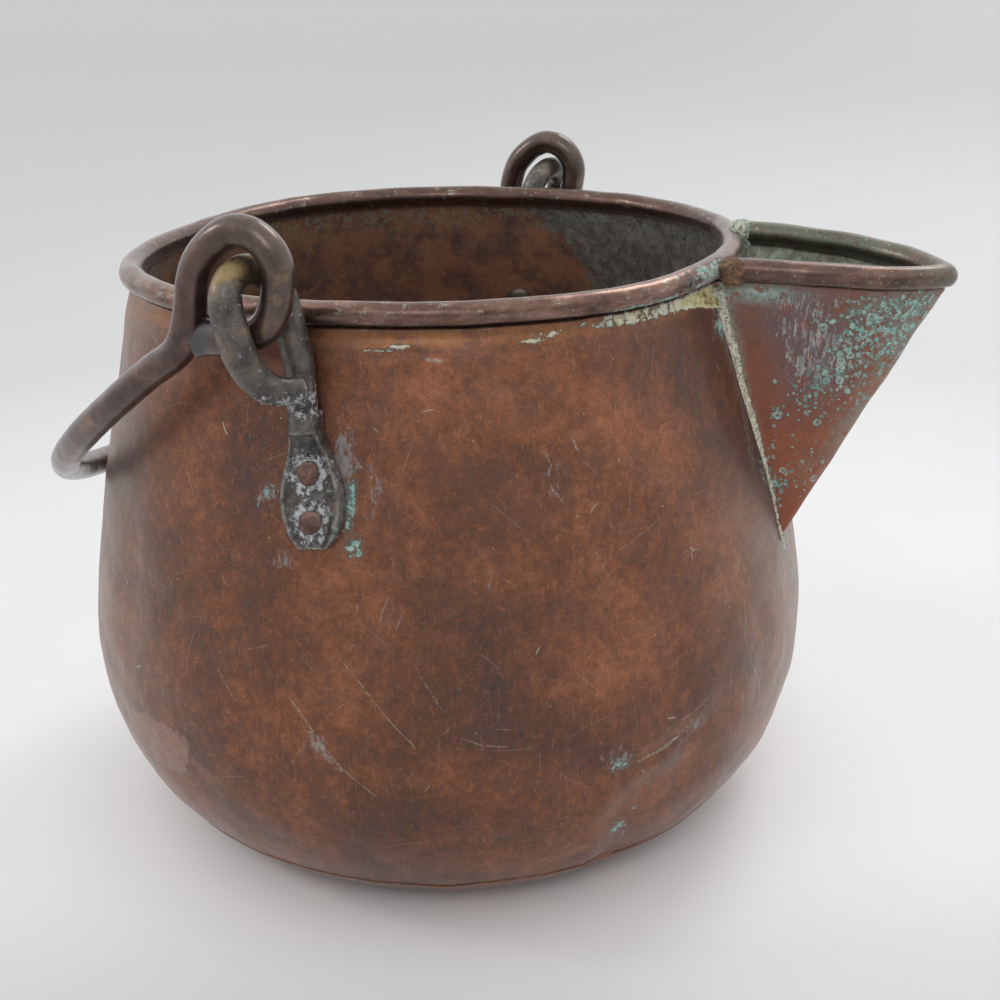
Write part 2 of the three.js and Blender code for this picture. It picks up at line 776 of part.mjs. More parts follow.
function potWall() {
  let solid = toSolid(turned(wallProfile()));
  for (const hole of strainerHoles()) solid = solid.subtract(hole);
  for (const angle of [frontAngle, backAngle]) {
    for (const hole of rivetHoles(angle, rivetShank / 2 + rivetPlay)) solid = solid.subtract(hole);
  }
  return fromSolid(solid);
}

function basePan() {
  const steps = 6;
  return turned([
    [0, 0], [footRadius, 0], ...outlineRun(panFloorHeight, panEdgeHeight, steps, 0),
    ...outlineRun(panEdgeHeight, panFloorHeight, steps, copperSheet),
    [footRadius - copperSheet, copperSheet], [0, copperSheet],
  ]);
}

// Iron wire inside the rolled rim, sized to pass the roll's flat facets
function wireRadius(steps) {
  return (rollRadius - rollSheet) * Math.cos(Math.PI / steps) - fit;
}

function rimWire() {
  const radius = wireRadius(rollSteps);
  const section = rollArc(radius, 0, 360, 7);
  return turned(section);
}

addPiece('pot_wall', potWall(), finish.wall);
addPiece('base_pan', basePan(), finish.base);
addPiece('rim_wire', rimWire(), finish.wire);
addPiece('spout', fromSolid(spoutSheet()), finish.spout);
addPiece('spout_rim_wire', swept(roundShape(wireRadius(rollSteps), 7), lip, lipSteps), finish.wire);
addPiece('spout_solder', fromSolid(solderLine()), finish.solder);
addPiece('front_ear', ear(frontAngle, frontArchHeight), finish.ear);
addPiece('back_ear', ear(backAngle, backArchHeight), finish.ear);
addPiece('front_upper_rivet', rivet(frontAngle, 1), finish.rivet);
addPiece('front_lower_rivet', rivet(frontAngle, -1), finish.rivet);
addPiece('back_upper_rivet', rivet(backAngle, 1), finish.rivet);
addPiece('back_lower_rivet', rivet(backAngle, -1), finish.rivet);
addPiece('bail', bail(), finish.bail);

export default pot;
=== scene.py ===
"""Looks of an old copper pouring pot: finer meshes, rubbed and scratched copper with some painted
light and shade, studio light and camera.

Sizes are in millimetres until a mesh is made. The origin is the middle of the foot,
+X points to the spout, -Y to the front ear and +Z up, as in the CAD frame.
"""
import math

import bpy
import numpy as np
from mathutils import Matrix, Vector


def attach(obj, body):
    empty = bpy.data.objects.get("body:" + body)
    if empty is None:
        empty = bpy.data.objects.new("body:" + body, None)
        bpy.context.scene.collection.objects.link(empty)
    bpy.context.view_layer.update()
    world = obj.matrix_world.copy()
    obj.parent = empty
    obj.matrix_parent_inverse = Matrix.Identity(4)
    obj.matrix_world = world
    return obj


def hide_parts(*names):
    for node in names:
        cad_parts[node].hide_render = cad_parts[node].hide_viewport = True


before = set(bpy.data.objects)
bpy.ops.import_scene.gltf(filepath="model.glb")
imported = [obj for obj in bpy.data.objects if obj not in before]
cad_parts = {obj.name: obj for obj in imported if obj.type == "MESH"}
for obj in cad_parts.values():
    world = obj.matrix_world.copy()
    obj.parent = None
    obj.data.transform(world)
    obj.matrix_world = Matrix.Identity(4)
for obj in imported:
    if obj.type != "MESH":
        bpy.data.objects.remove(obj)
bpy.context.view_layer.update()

MM = 0.001

# How fine the meshes are: points round the pot, levels of its wall, points along the spout's
# edge, levels of the spout, points along solder, ear wire and bail, and the forgings' voxels
AROUND, WALL_LEVELS = 560, 150
LIP_POINTS, SPOUT_LEVELS = 240, 110
SOLDER_POINTS, EAR_POINTS, BAIL_POINTS = 520, 200, 700
EAR_VOXEL = 0.55

# Pot wall and base, the sizes of the CAD source. BELLY turns angles round the wall into lengths.
FIT = 0.3
COPPER = 1.4
FOOT_RADIUS = 97.0
BELLY = 148.0
PAN_EDGE = 18.0
LAP_DEPTH = 6.0
TONGUE = 1.0
WALL_POINTS = [
    (FOOT_RADIUS, 0.0), (118.5, 9.0), (141.7, 40.0), (149.6, 80.0),
    (142.4, 140.0), (128.2, 200.0), (121.2, 228.5),
]
OVALNESS, SQUARENESS, EGG_SHAPE = -0.0257, -0.0194, 0.0146

# Rolled rim
RIM_RADIUS = 120.0
RIM_HEIGHT = 233.0
ROLL = 4.5
ROLL_SHEET = 1.1

# Spout
SPOUT_TIP = np.array([197.0, -7.0, 229.0])
# The drawn tip is this much longer than the CAD's, which has fewer points
TIP_TRIM = 1.15
SPOUT_NEAR, SPOUT_FAR = -29.0, 32.0
SPOUT_FAR_LIFT = 2.6
LIP_POWER, TIP_POWER = 2.5, 1.4
APEX_HEIGHT, APEX_SIDE = 127.0, -19.0
SPOUT_BURY = 22.0
STRAINER_HOLE, STRAINER_PITCH = 5.0, 11.0
STRAINER_MARGIN, STRAINER_TOP = 6.0, 22.0

# Ears
FRONT_ANGLE, BACK_ANGLE = math.radians(-90.8), math.radians(91.8)
EAR_LEAN = math.radians(5.0)
FRONT_ARCH, BACK_ARCH = 251.3, 243.3
EAR_WIRE = 10.2
PLATE_HEIGHT = 173.8
PLATE_THICKNESS = 3.0
PLATE_HALF, PLATE_FOOT_HALF, PLATE_NECK_HALF = 11.8, 5.0, 5.4
PLATE_BELOW, PLATE_ABOVE = 17.6, 29.0
RING_SPAN = 25.0
RING_TWIST = math.radians(20.0)
RING_DROP = 42.5
TAIL_DIP = 0.93
STEM_BEND = 4.0
STEM_FOOT = 22.0
RIVET_SPACING = 16.4
# The tail of each ring ends this far in front of the stem, above its foot and to its right
TAIL_FRONT, TAIL_RISE, TAIL_SIDE = 6.6, 3.4, 6.2

# Bail
BAIL_ROD = 10.8
BAIL_DEPTH = 181.0
BAIL_OFFSET = 6.4
BAIL_WIDTH_POWER, BAIL_DEPTH_POWER = 2.03, 2.74
BOW_START = 36.0
BAIL_SWING = math.radians(54.21)
EYE_OUTLINE = [
    (7.0, -38.5), (5.2, -33.5), (-0.9, -25.2), (-6.6, -19.2), (-10.8, -13.0), (-12.6, -5.9),
    (-12.6, 0.3), (-11.0, 5.6), (-6.6, 9.8), (-0.4, 11.7), (6.4, 10.4), (12.0, 5.7),
    (16.3, 0.2), (18.2, -5.2), (17.6, -11.8), (15.1, -17.7), (12.1, -22.0), (9.6, -25.6),
]
EYE_END = (7.4, -30.6)
END_FLAT = 22.0

UP = np.array([0.0, 0.0, 1.0])
# Direction of the side that the camera sees
FRONT = (0.32, -0.95, 0)


# Curves and smooth random fields

def centripetal(points, count):
    """Samples of a centripetal Catmull-Rom curve through points, as the CAD source draws it."""
    points = np.asarray(points, float)
    last = len(points) - 1
    padded = np.vstack([2 * points[0] - points[1], points, 2 * points[last] - points[last - 1]])
    gaps = np.sum(np.diff(padded, axis=0) ** 2, axis=1) ** 0.25
    out = []
    for t in np.linspace(0, last, count + 1):
        i = min(int(t), last - 1)
        w = t - i
        p0, p1, p2, p3 = padded[i:i + 4]
        d0, d1, d2 = gaps[i:i + 3]
        start = ((p1 - p0) / d0 - (p2 - p0) / (d0 + d1)) * d1 + (p2 - p1)
        end = ((p3 - p2) / d2 - (p3 - p1) / (d1 + d2)) * d1 + (p2 - p1)
        out.append(p1 + start * w + (-3 * p1 + 3 * p2 - 2 * start - end) * w ** 2
                   + (2 * p1 - 2 * p2 + start + end) * w ** 3)
    return np.array(out)


def even(points, count):
    """The same line resampled at equal steps of length."""
    length = lengths(points)
    at = np.linspace(0, length[-1], count)
    return np.stack([np.interp(at, length, points[:, k]) for k in range(points.shape[1])], axis=1)


def field(points, size, seed, waves=28):
    """A smooth random field of about -1 to 1 whose bumps are about size millimetres wide."""
    draw = np.random.default_rng(seed)
    total = np.zeros(points.shape[:-1])
    for _ in range(waves):
        direction = draw.normal(size=3)
        direction /= np.linalg.norm(direction)
        pitch = size * draw.uniform(0.7, 1.6)
        total += np.sin(points @ direction * (2 * math.pi / pitch) + draw.uniform(0, 2 * math.pi))
    return total / math.sqrt(waves / 2) * 0.6


def smooth(value, low, high):
    share = np.clip((value - low) / (high - low), 0, 1)
    return share * share * (3 - 2 * share)


def bell(value, width):
    """1 at a value of 0, fading to 0 over width to either side."""
    return np.exp(-(value / width) ** 2)


def unit(vector):
    return vector / np.linalg.norm(vector, axis=-1, keepdims=True)


def dots(a, b):
    return np.sum(a * b, axis=1, keepdims=True)


def full_turn(count):
    return np.linspace(0, 2 * math.pi, count, endpoint=False)


def ring(radius, angle, height):
    """Points at angles round the pot's axis."""
    return np.stack([radius * np.cos(angle), radius * np.sin(angle),
                     np.broadcast_to(height, angle.shape)], axis=-1)


def round_axis(points):
    """Angles and distances of points round the pot's axis."""
    return np.arctan2(points[..., 1], points[..., 0]), np.hypot(points[..., 0], points[..., 1])


def lengths(line):
    """How far along a line each of its points is."""
    return np.concatenate([[0], np.cumsum(np.linalg.norm(np.diff(line, axis=0), axis=1))])


# Meshes

def add_object(name, data):
    thing = bpy.data.objects.new(name, data)
    bpy.context.scene.collection.objects.link(thing)
    return thing


def make_piece(name, points, faces, material, body, node=None, masks=None):
    """A smooth-shaded piece in the frame, riding on a body and standing for a CAD node."""
    mesh = bpy.data.meshes.new(name)
    mesh.from_pydata((np.asarray(points, float).reshape(-1, 3) * MM).tolist(), [], faces)
    for mask, values in (masks or {}).items():
        layer = mesh.attributes.new(mask, "FLOAT", "POINT")
        layer.data.foreach_set("value", np.asarray(values, np.float32).ravel())
    mesh.validate()
    mesh.shade_smooth()
    mesh.materials.append(material)
    piece = add_object(name, mesh)
    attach(piece, body)
    if node:
        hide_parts(node)
    return piece


def grid_faces(rows, columns, wrap_rows, wrap_columns, start=0):
    """Quads of a grid of points, closed on itself where it wraps."""
    faces = []
    for i in range(rows if wrap_rows else rows - 1):
        for j in range(columns if wrap_columns else columns - 1):
            i2, j2 = (i + 1) % rows, (j + 1) % columns
            faces.append((start + i * columns + j, start + i * columns + j2,
                          start + i2 * columns + j2, start + i2 * columns + j))
    return faces


def flipped(faces):
    return [tuple(reversed(face)) for face in faces]


def fans(rings, sides):
    """Triangles from the first and last ring to the two points that come after all rings."""
    first, last, top = rings * sides, rings * sides + 1, (rings - 1) * sides
    faces = []
    for j in range(sides):
        k = (j + 1) % sides
        faces += [(first, k, j), (last, top + j, top + k)]
    return faces


def swept(path, radius, sides=24):
    """A closed tube round a path, with flat ends. radius may change along it."""
    count = len(path)
    radius = np.broadcast_to(np.asarray(radius, float), (count,))
    tangent = unit(np.gradient(path, axis=0))
    normal = np.zeros_like(path)
    normal[0] = unit(np.cross(tangent[0], UP))
    for i in range(1, count):
        normal[i] = unit(normal[i - 1] - tangent[i] * (normal[i - 1] @ tangent[i]))
    other = np.cross(tangent, normal)
    turn = full_turn(sides)
    radius = radius[:, None, None]
    rings = (path[:, None, :] + normal[:, None, :] * (np.cos(turn)[None, :, None] * radius)
             + other[:, None, :] * (np.sin(turn)[None, :, None] * radius))
    caps = [path[end] + (rings[end] - path[end]) * 0.8 for end in (0, -1)]
    rings = np.vstack([caps[0][None], rings, caps[1][None]])
    count += 2
    points = np.vstack([rings.reshape(-1, 3), path[:1], path[-1:]])
    return points, flipped(grid_faces(count, sides, False, True)) + fans(count, sides)


# Shape of the pot

# Which side of the sheet a point is on
INSIDE, OUTSIDE, ON_ROLL = 0, 1, 2
# Rows of points down the lap between wall and base
LAP_ROWS = 4

OUTLINE = centripetal(WALL_POINTS, 600)


def outline_radius(height):
    return np.interp(height, OUTLINE[:, 1], OUTLINE[:, 0])


def outline_slope(height):
    return (outline_radius(height + 1) - outline_radius(height - 1)) / 2


def roundness(angle, height):
    """How far the pot is out of round there, as a factor of its radius."""
    share = np.maximum(height, 0) / RIM_HEIGHT
    waves = (OVALNESS * np.cos(2 * angle) + SQUARENESS * np.cos(4 * angle)
             + EGG_SHAPE * np.cos(3 * angle))
    return 1 + share * share * waves


def wall_radius(angle, height):
    return outline_radius(height) * roundness(angle, height)


# Dents in the copper: degrees round the pot, height, half sizes along and up, depth, tilt
DENTS = [
    (-40, 74, 20, 4.5, 1.0, 12), (-34, 60, 16, 14, 1.2, 0), (-68, 96, 18, 9, 0.7, 10),
    (-88, 116, 22, 16, 0.6, 0), (-20, 90, 10, 26, 0.7, 5), (-120, 90, 16, 26, 0.5, 0),
    (-62, 150, 24, 18, -0.4, 0), (-126, 120, 9, 34, 0.8, 0), (60, 90, 20, 14, 1.4, 10),
    (120, 60, 16, 22, 1.6, -20), (165, 100, 12, 20, 1.0, 0), (25, 70, 18, 12, 1.0, 25),
    (-160, 50, 16, 10, 1.1, 8), (95, 130, 24, 12, 0.7, 0),
]
# Radii of the drums on which the bumps of the sheet and of its crust are drawn
BUMP_RADIUS, CRUST_RADIUS = 150, 130
# The fold of the big dent low on the right: degrees and heights along it, from the foot up
CREASE = [(-50.0, 24), (-51.0, 36), (-52.0, 46), (-50.0, 57), (-46.0, 65), (-40.0, 70)]


def flat_place(angle, height):
    """Millimetres round the pot from the spout's side, and height."""
    return np.stack([BELLY * angle, height], axis=-1)


def nearest_on_line(place, points):
    """Signed distance to a line of points, and how far past its ends."""
    least = np.full(place.shape[:-1], 1e9)
    side, past = np.zeros_like(least), np.zeros_like(least)
    flat = np.array([(math.radians(a) * BELLY, z) for a, z in points])
    for i, (start, end) in enumerate(zip(flat, flat[1:])):
        run = end - start
        length = math.hypot(*run)
        away = place - start
        along = (away @ run) / length
        across = (away[..., 0] * run[1] - away[..., 1] * run[0]) / length
        over = np.maximum(np.maximum(-along, along - length), 0)
        reach = np.hypot(over, across)
        nearer = reach < least
        least = np.where(nearer, reach, least)
        side = np.where(nearer, np.sign(across) * reach, side)
        ends = np.where(along < 0, i == 0, i == len(points) - 2)
        past = np.where(nearer, over * ends, past)
    return side, past


def dented(angle, height):
    """How far the sheet stands out of its drawn outline, in millimetres."""
    angle, height = np.broadcast_arrays(angle, height)
    drum = ring(BUMP_RADIUS, angle, height)
    depth = 0.5 * field(drum, 60, 11) + 0.22 * field(drum, 22, 12) + 0.07 * field(drum, 9, 13)
    for middle, level, wide, tall, deep, tilt in DENTS:
        depth -= deep * np.exp(-ellipse(angle, height, middle, level, wide, tall, tilt) ** 1.15)
    turned = np.angle(np.exp(1j * angle))
    side, past = nearest_on_line(flat_place(turned, height), CREASE)
    inside = smooth(side, -3, 13) * bell(np.maximum(side, 0), 34)
    ridge = bell(side, 5.5)
    depth += (0.45 * ridge - 2.5 * inside) * (1 - smooth(past, 0, 24))
    calm = smooth(height, 3, 12) * (1 - smooth(height, 212, 226))
    band = 0.9 * bell(height - 217.5, 4.6) - 0.7 * bell(height - 226, 1.7)
    return depth * calm + band * (0.35 + 0.65 * around(-60, 48, angle))


def around(middle, width, angle):
    """1 at an angle round the pot, fading to 0 over width degrees."""
    away = np.angle(np.exp(1j * (angle - math.radians(middle))))
    return bell(np.degrees(away), width)


def ellipse(angle, height, middle, level, wide, tall, tilt):
    """0 at a place on the wall and 1 on an ellipse about it, of half sizes wide and tall."""
    across = BELLY * np.angle(np.exp(1j * (angle - math.radians(middle))))
    above = height - level
    c, s = math.cos(math.radians(tilt)), math.sin(math.radians(tilt))
    u, v = (across * c + above * s) / wide, (above * c - across * s) / tall
    return u * u + v * v


def spot(angle, height, middle, level, wide, tall, tilt=0.0):
    """1 at a place on the wall, fading to 0 round it."""
    return np.exp(-ellipse(angle, height, middle, level, wide, tall, tilt))


# Stains on the wall, and warm spots that are partly painted light: degrees round the pot, height, half
# sizes along and up, strength, tilt
GREEN_SPOTS = [
    (-15, 214, 14, 8, 1.0, 0),
    (-10.5, 200, 4, 26, 0.8, 0), (-10.5, 160, 4, 26, 0.7, 0), (-6, 122, 6, 10, 0.9, 0),
    (-2, 108, 5, 12, 0.8, 0), (-85.4, 170, 3, 16, 0.95, -10), (-84.8, 158, 5, 6, 0.9, 0),
    (-81.5, 190, 4, 10, 0.35, 0), (-97.5, 175, 4, 4, 0.7, 0), (-94.5, 155, 5, 3, 0.5, 0),
    (-48.5, 72, 6, 4, 0.85, 40), (-41, 73.5, 12, 1.6, 0.8, 14), (-46.7, 38, 3.5, 6, 1.0, -20),
    (-44.5, 47, 3, 3, 0.8, 0), (-87.5, 84, 4, 3, 0.5, 0), (-92, 92, 5, 4, 0.35, 0),
    (-36, 82, 8, 1.4, 0.6, 20), (-66, 92, 14, 1.2, 0.35, -8), (12, 200, 5, 30, 0.7, 0),
    (90, 165, 16, 30, 0.45, 0), (30, 60, 8, 5, 0.5, 0), (150, 130, 10, 6, 0.4, 0),
]
HAZE_SPOTS = [
    (-86.5, 181, 5, 20, 1.3), (-82.2, 176, 4.5, 13, 0.8), (-98, 172, 5, 5, 0.9),
    (-95, 152, 7, 3, 0.8), (-90.5, 87, 6, 5, 0.8), (-14.5, 207, 4, 18, 1.0),
    (-13.6, 172, 3.5, 26, 0.9), (-66, 143, 3, 14, 0.4),
    (-56, 178, 8, 8, 0.5), (-36, 78, 10, 4, 0.7), (-49, 75, 8, 5, 0.8), (-45, 32, 5, 10, 0.7),
    (-18, 208, 9, 10, 0.5), (10, 190, 6, 30, 0.8), (86, 170, 8, 20, 0.9), (-150, 130, 12, 20, 0.5),
    (160, 90, 14, 14, 0.6), (60, 150, 12, 20, 0.6),
]
# Redder tone that is also painted light, brightening the upper front of the wall
WARM_AND_PAINTED_LIGHT_SPOTS = [
    (-62, 212, 46, 6, 1.3), (-62, 203, 34, 15, 1.2), (-88, 124, 24, 36, 1.0), (-49, 124, 24, 36, 1.2),
    (-60, 168, 36, 20, 0.7), (-46, 190, 22, 16, 0.8), (120, 120, 60, 40, 0.8), (40, 100, 40, 40, 0.6),
]
DARK_SPOTS = [
    (-66, 97, 26, 12, 0.8), (-99, 140, 12, 26, 0.6), (-80, 64, 36, 10, 0.8), (-60, 50, 18, 9, 0.6),
    (-103, 176, 7, 26, 0.7), (-69, 134, 13, 12, 0.4), (-29, 192, 10, 28, 0.6), (170, 150, 40, 30, 0.7),
    (70, 60, 40, 20, 0.6),
]


def each_spot(angle, height, places):
    """Every place of a list of stains, by its strength."""
    return [strong * spot(angle, height, middle, level, wide, tall, *tilt)
            for middle, level, wide, tall, strong, *tilt in places]


def strongest(angle, height, places):
    return np.max(each_spot(angle, height, places), axis=0)


def added(angle, height, places):
    return sum(each_spot(angle, height, places))


def wall_masks(angle, height, outside):
    """Where the wall is crusted, green, bare, dark or redder, where painted light lifts its upper
    front, and where dust and painted sheen pale its sides: one value for each point.
    """
    lower = 224.2 - 5.5 * around(-13, 8, angle) - 1.2 * around(-36, 14, angle)
    crust = smooth(height, lower - 1.5, lower + 2.0) * (
        around(-20, 13, angle) + 0.6 * around(-41, 9, angle) + 0.35 * around(-62, 12, angle)
        + 0.35 * around(-136, 10, angle) + 0.8 * around(10, 20, angle))
    crust = np.clip(crust, 0, 1) * (1 - smooth(height, 229, 231))
    for line in ((-57, 223.4, 13, 1.0, 6), (-79, 222.6, 17, 0.9, 5)):
        crust += 0.85 * spot(angle, height, *line)
    green, haze = (strongest(angle, height, places) for places in (GREEN_SPOTS, HAZE_SPOTS))
    bare = spot(angle, height, -121, 65, 26, 14, 8)
    warm, dark = (added(angle, height, places) for places in (WARM_AND_PAINTED_LIGHT_SPOTS, DARK_SPOTS))
    # Pale tone at the wall's left and right sides as the camera sees them: some dust, and painted
    # sheen
    pale_edges = around(-133, 11, angle) + 1.3 * around(-5, 17, angle) * (1 - smooth(height, 125, 180))
    gold = smooth(height, 221, 224) * (1 - smooth(height, 226, 230)) * (
        around(-70, 34, angle) + around(-132, 13, angle) + 0.6 * around(-20, 20, angle))
    masks = {"crust": crust, "green": green, "pale_edges": pale_edges, "gold": gold}
    masks = {name: np.clip(values, 0, 1) * outside for name, values in masks.items()}
    masks.update(haze=haze * outside, bare=bare * outside, warm=np.clip(warm, 0, 1),
                 dark=np.clip(dark, 0, 1), inside=1.0 - outside)
    return masks


# Scratches: points of degrees round the pot and height, half width, strength
SCRATCHES = [
    ([(-86.8, 119.4), (-83.5, 110.0), (-80.5, 100.0), (-77.0, 89.5)], 0.22, 0.8),
    ([(-94.0, 103.0), (-91.0, 93.0), (-89.0, 86.0), (-86.5, 78.0), (-82.7, 69.1)], 0.24, 0.8),
    ([(-91.5, 90.0), (-89.8, 85.4), (-87.6, 79.0)], 1.1, 0.5),
    ([(-23.4, 115.9), (-24.2, 101.0), (-22.8, 90.0), (-19.8, 78.9), (-18.9, 66.0)], 0.20, 0.65),
    ([(-80.2, 141.0), (-81.3, 133.5)], 0.24, 0.55),
    ([(-78.0, 137.0), (-79.4, 129.0)], 0.22, 0.5),
    ([(-76.5, 118.0), (-74.8, 110.0), (-73.2, 103.0)], 0.22, 0.5),
    ([(-35.8, 144.0), (-33.2, 143.0)], 0.32, 0.8),
    ([(-34.7, 147.0), (-34.5, 140.0)], 0.26, 0.8),
    ([(-70.5, 92.0), (-68.0, 89.0), (-65.0, 88.0)], 0.3, 0.45),
    ([(-105.5, 108.0), (-103.0, 99.0)], 0.22, 0.6),
    ([(-101.0, 118.0), (-97.5, 121.0)], 0.2, 0.45),
    ([(-47.0, 151.0), (-42.0, 156.0), (-38.5, 160.0)], 0.2, 0.5),
    ([(-46.0, 71.0), (-42.0, 72.5), (-38.6, 75.0)], 0.45, 0.85),
    ([(-41.0, 80.5), (-36.5, 83.5), (-33.5, 87.0)], 0.3, 0.5),
    ([(-57.0, 186.0), (-56.3, 182.0)], 0.35, 0.7),
    ([(-56.6, 175.0), (-55.2, 170.5)], 0.4, 0.8),
    ([(-52.6, 189.5), (-52.2, 186.5)], 0.45, 0.8),
    ([(-74.0, 219.0), (-71.5, 218.2)], 0.7, 0.7),
]


def scratch_masks(angle, height):
    """Signed distance to the nearest scratch, its width, and a gate that is 0 away from it."""
    place = flat_place(angle, height)
    side, width = np.full(angle.shape, 6.0), np.full(angle.shape, 0.3)
    gate, least = np.zeros(angle.shape), np.full(angle.shape, 1e9)
    for points, half_width, strength in SCRATCHES:
        signed, past = nearest_on_line(place, points)
        away = np.abs(signed)
        nearer = away < least
        least = np.where(nearer, away, least)
        side = np.where(nearer, signed, side)
        width = np.where(nearer, half_width, width)
        here = strength * (1 - smooth(away, 2.2, 3.6)) * (1 - smooth(past, 0, 1.5))
        gate = np.where(nearer, here, gate)
    return {"scratch_side": side, "scratch_width": width, "scratch_gate": gate}


def roll_centre(angle):
    """Radius and height of the rim's rolled edge, a little uneven."""
    rim = ring(RIM_RADIUS, angle, 0.0)
    radius = RIM_RADIUS + 0.35 * field(rim, 60, 31) + 0.15 * field(rim, 22, 32)
    height = RIM_HEIGHT - 0.25 + 0.35 * field(rim, 70, 33) + 0.12 * field(rim, 20, 34)
    return radius, height


def strainer_holes():
    """The holes in the wall behind the spout: place along Y, and height."""
    holes = []
    height = RIM_HEIGHT - STRAINER_TOP
    while height > APEX_HEIGHT:
        share = (height - APEX_HEIGHT) / (RIM_HEIGHT - ROLL - APEX_HEIGHT)
        front = APEX_SIDE + (SPOUT_NEAR - APEX_SIDE) * share
        back = APEX_SIDE + (SPOUT_FAR - APEX_SIDE) * share
        room = back - front - 2 * STRAINER_MARGIN - STRAINER_HOLE
        count = 1 + int(room // STRAINER_PITCH) if room >= 0 else 0
        holes += [((front + back) / 2 + (i - (count - 1) / 2) * STRAINER_PITCH, height)
                  for i in range(count)]
        height -= STRAINER_PITCH
    return holes


def punch(points, faces, first, last, mirror):
    """Cuts the strainer holes. Rows first to last are outside; row i faces inner row mirror - i."""
    columns = points.shape[1]
    middle = (points[:-1] + points[1:]) / 2
    middle = (middle + np.roll(middle, -1, axis=1)) / 2
    radius = STRAINER_HOLE / 2
    gone, edge = {}, {}
    for hole in strainer_holes():
        away = np.hypot(middle[..., 1] - hole[0], middle[..., 2] - hole[1])
        for i, j in np.argwhere((away < 0.92 * radius) & (middle[..., 0] > 0)).tolist():
            if first <= i < last:
                gone[i, j] = hole
    sides = []
    for (i, j), hole in gone.items():
        right = (j + 1) % columns
        corners = [(i + 1, j), (i + 1, right), (i, right), (i, j)]
        beyond = [(i + 1, j), (i, right), (i - 1, j), (i, (j - 1) % columns)]
        for k in range(4):
            if beyond[k] not in gone:
                (a, b), (c, d) = corners[k], corners[(k + 1) % 4]
                sides.append((a * columns + b, c * columns + d,
                              (mirror - c) * columns + d, (mirror - a) * columns + b))
                edge[a, b] = edge[c, d] = hole
    for (i, j), hole in edge.items():
        for row in (i, mirror - i):
            place = points[row, j]
            reach = math.hypot(place[0], place[1])
            place[1:] = np.array(hole) + unit(place[1:] - np.array(hole)) * radius
            place[0] = math.sqrt(reach * reach - place[1] ** 2)
    kept = []
    for number, face in enumerate(faces):
        i, j = divmod(number, columns)
        if (i, j) not in gone and (mirror - 1 - i, j) not in gone:
            kept.append(face)
    return kept + sides


def pot_row(angle, radius, height, lift=0.0):
    """Points round the pot at a radius before its roundness, standing out by lift."""
    return ring(radius * roundness(angle, height) + lift, angle, height)


def pot_wall(material):
    """The raised wall and its rolled rim as one closed sheet."""
    angle = full_turn(AROUND)
    rows, sides = [], []

    def add(radius, height, side, lift=0.0):
        rows.append(pot_row(angle, radius, height, lift))
        sides.append(np.full(AROUND, side))

    jog = PAN_EDGE + FIT
    inset = COPPER + FIT
    for height in np.linspace(jog - LAP_DEPTH, jog, LAP_ROWS):
        add(outline_radius(height) - inset, height, INSIDE)
    levels = np.linspace(jog, RIM_HEIGHT - ROLL - 1.2, WALL_LEVELS)
    for height in levels:
        lift = dented(angle, height)
        scale = wall_masks(angle, height + 0 * angle, 1.0)["crust"]
        grain = ring(CRUST_RADIUS, angle, height)
        lift = lift + scale * (0.4 + 0.35 * field(grain, 5, 41) + 0.22 * field(grain, 2.6, 42))
        add(outline_radius(height), height, OUTSIDE, lift)
    radius, height = roll_centre(angle)
    for reach, turns in ((ROLL - ROLL_SHEET, np.linspace(-84, -398, 26)),
                         (ROLL, np.linspace(-398, -112, 40))):
        for turn in np.radians(turns):
            add(radius + reach * np.cos(turn), height + reach * np.sin(turn), ON_ROLL)
    first_inner = len(rows)
    for height in levels[levels > jog + 3][::-1]:
        add(outline_radius(height) - COPPER, height, INSIDE, dented(angle, height))
    for height in np.linspace(jog, jog - LAP_DEPTH, LAP_ROWS):
        add(outline_radius(height) - inset - TONGUE, height, INSIDE)
    points = np.array(rows)
    faces = flipped(grid_faces(len(rows), AROUND, True, True))
    last = LAP_ROWS - 1 + len(levels)
    faces = punch(points, faces, LAP_ROWS, last, first_inner + last)
    side = np.array(sides)
    at, reach = round_axis(points)
    masks = wall_masks(at, points[..., 2], side == OUTSIDE)
    masks["inside"] = side == INSIDE
    masks["roll"] = side == ON_ROLL
    masks.update(scratch_masks(at, points[..., 2]))
    masks["scratch_gate"] *= side == OUTSIDE
    masks["crust"] += masks["roll"] * rim_crust(at, points)
    reach = reach / roundness(at, points[..., 2])
    # Painted shade on the half of the rim's roll that faces into the pot
    roll_inner_painted_shade = 1 - smooth(reach, RIM_RADIUS - 2, RIM_RADIUS + 2)
    masks["dark"] = np.where(side == ON_ROLL, roll_inner_painted_shade, masks["dark"])
    used, corners = np.unique(np.array(faces), return_inverse=True)
    faces = corners.reshape(-1, 4).tolist()
    masks = {name: values.ravel()[used] for name, values in masks.items()}
    return make_piece("pot_wall_sheet", points.reshape(-1, 3)[used], faces, material, "pot",
                      "pot_wall", masks)


def rim_crust(angle, points):
    """Crust on the rim's roll: near the spout, and low on its outside."""
    low = smooth(RIM_HEIGHT - points[..., 2], 0.5, 4.0)
    reach = round_axis(points)[1] / roundness(angle, points[..., 2])
    out = smooth(reach, RIM_RADIUS, RIM_RADIUS + 3)
    near = around(-19, 11, angle) * 0.85 + around(-34, 16, angle) * low
    return np.clip(near * out + 0.3 * around(60, 60, angle) * low * (1 - out), 0, 1)


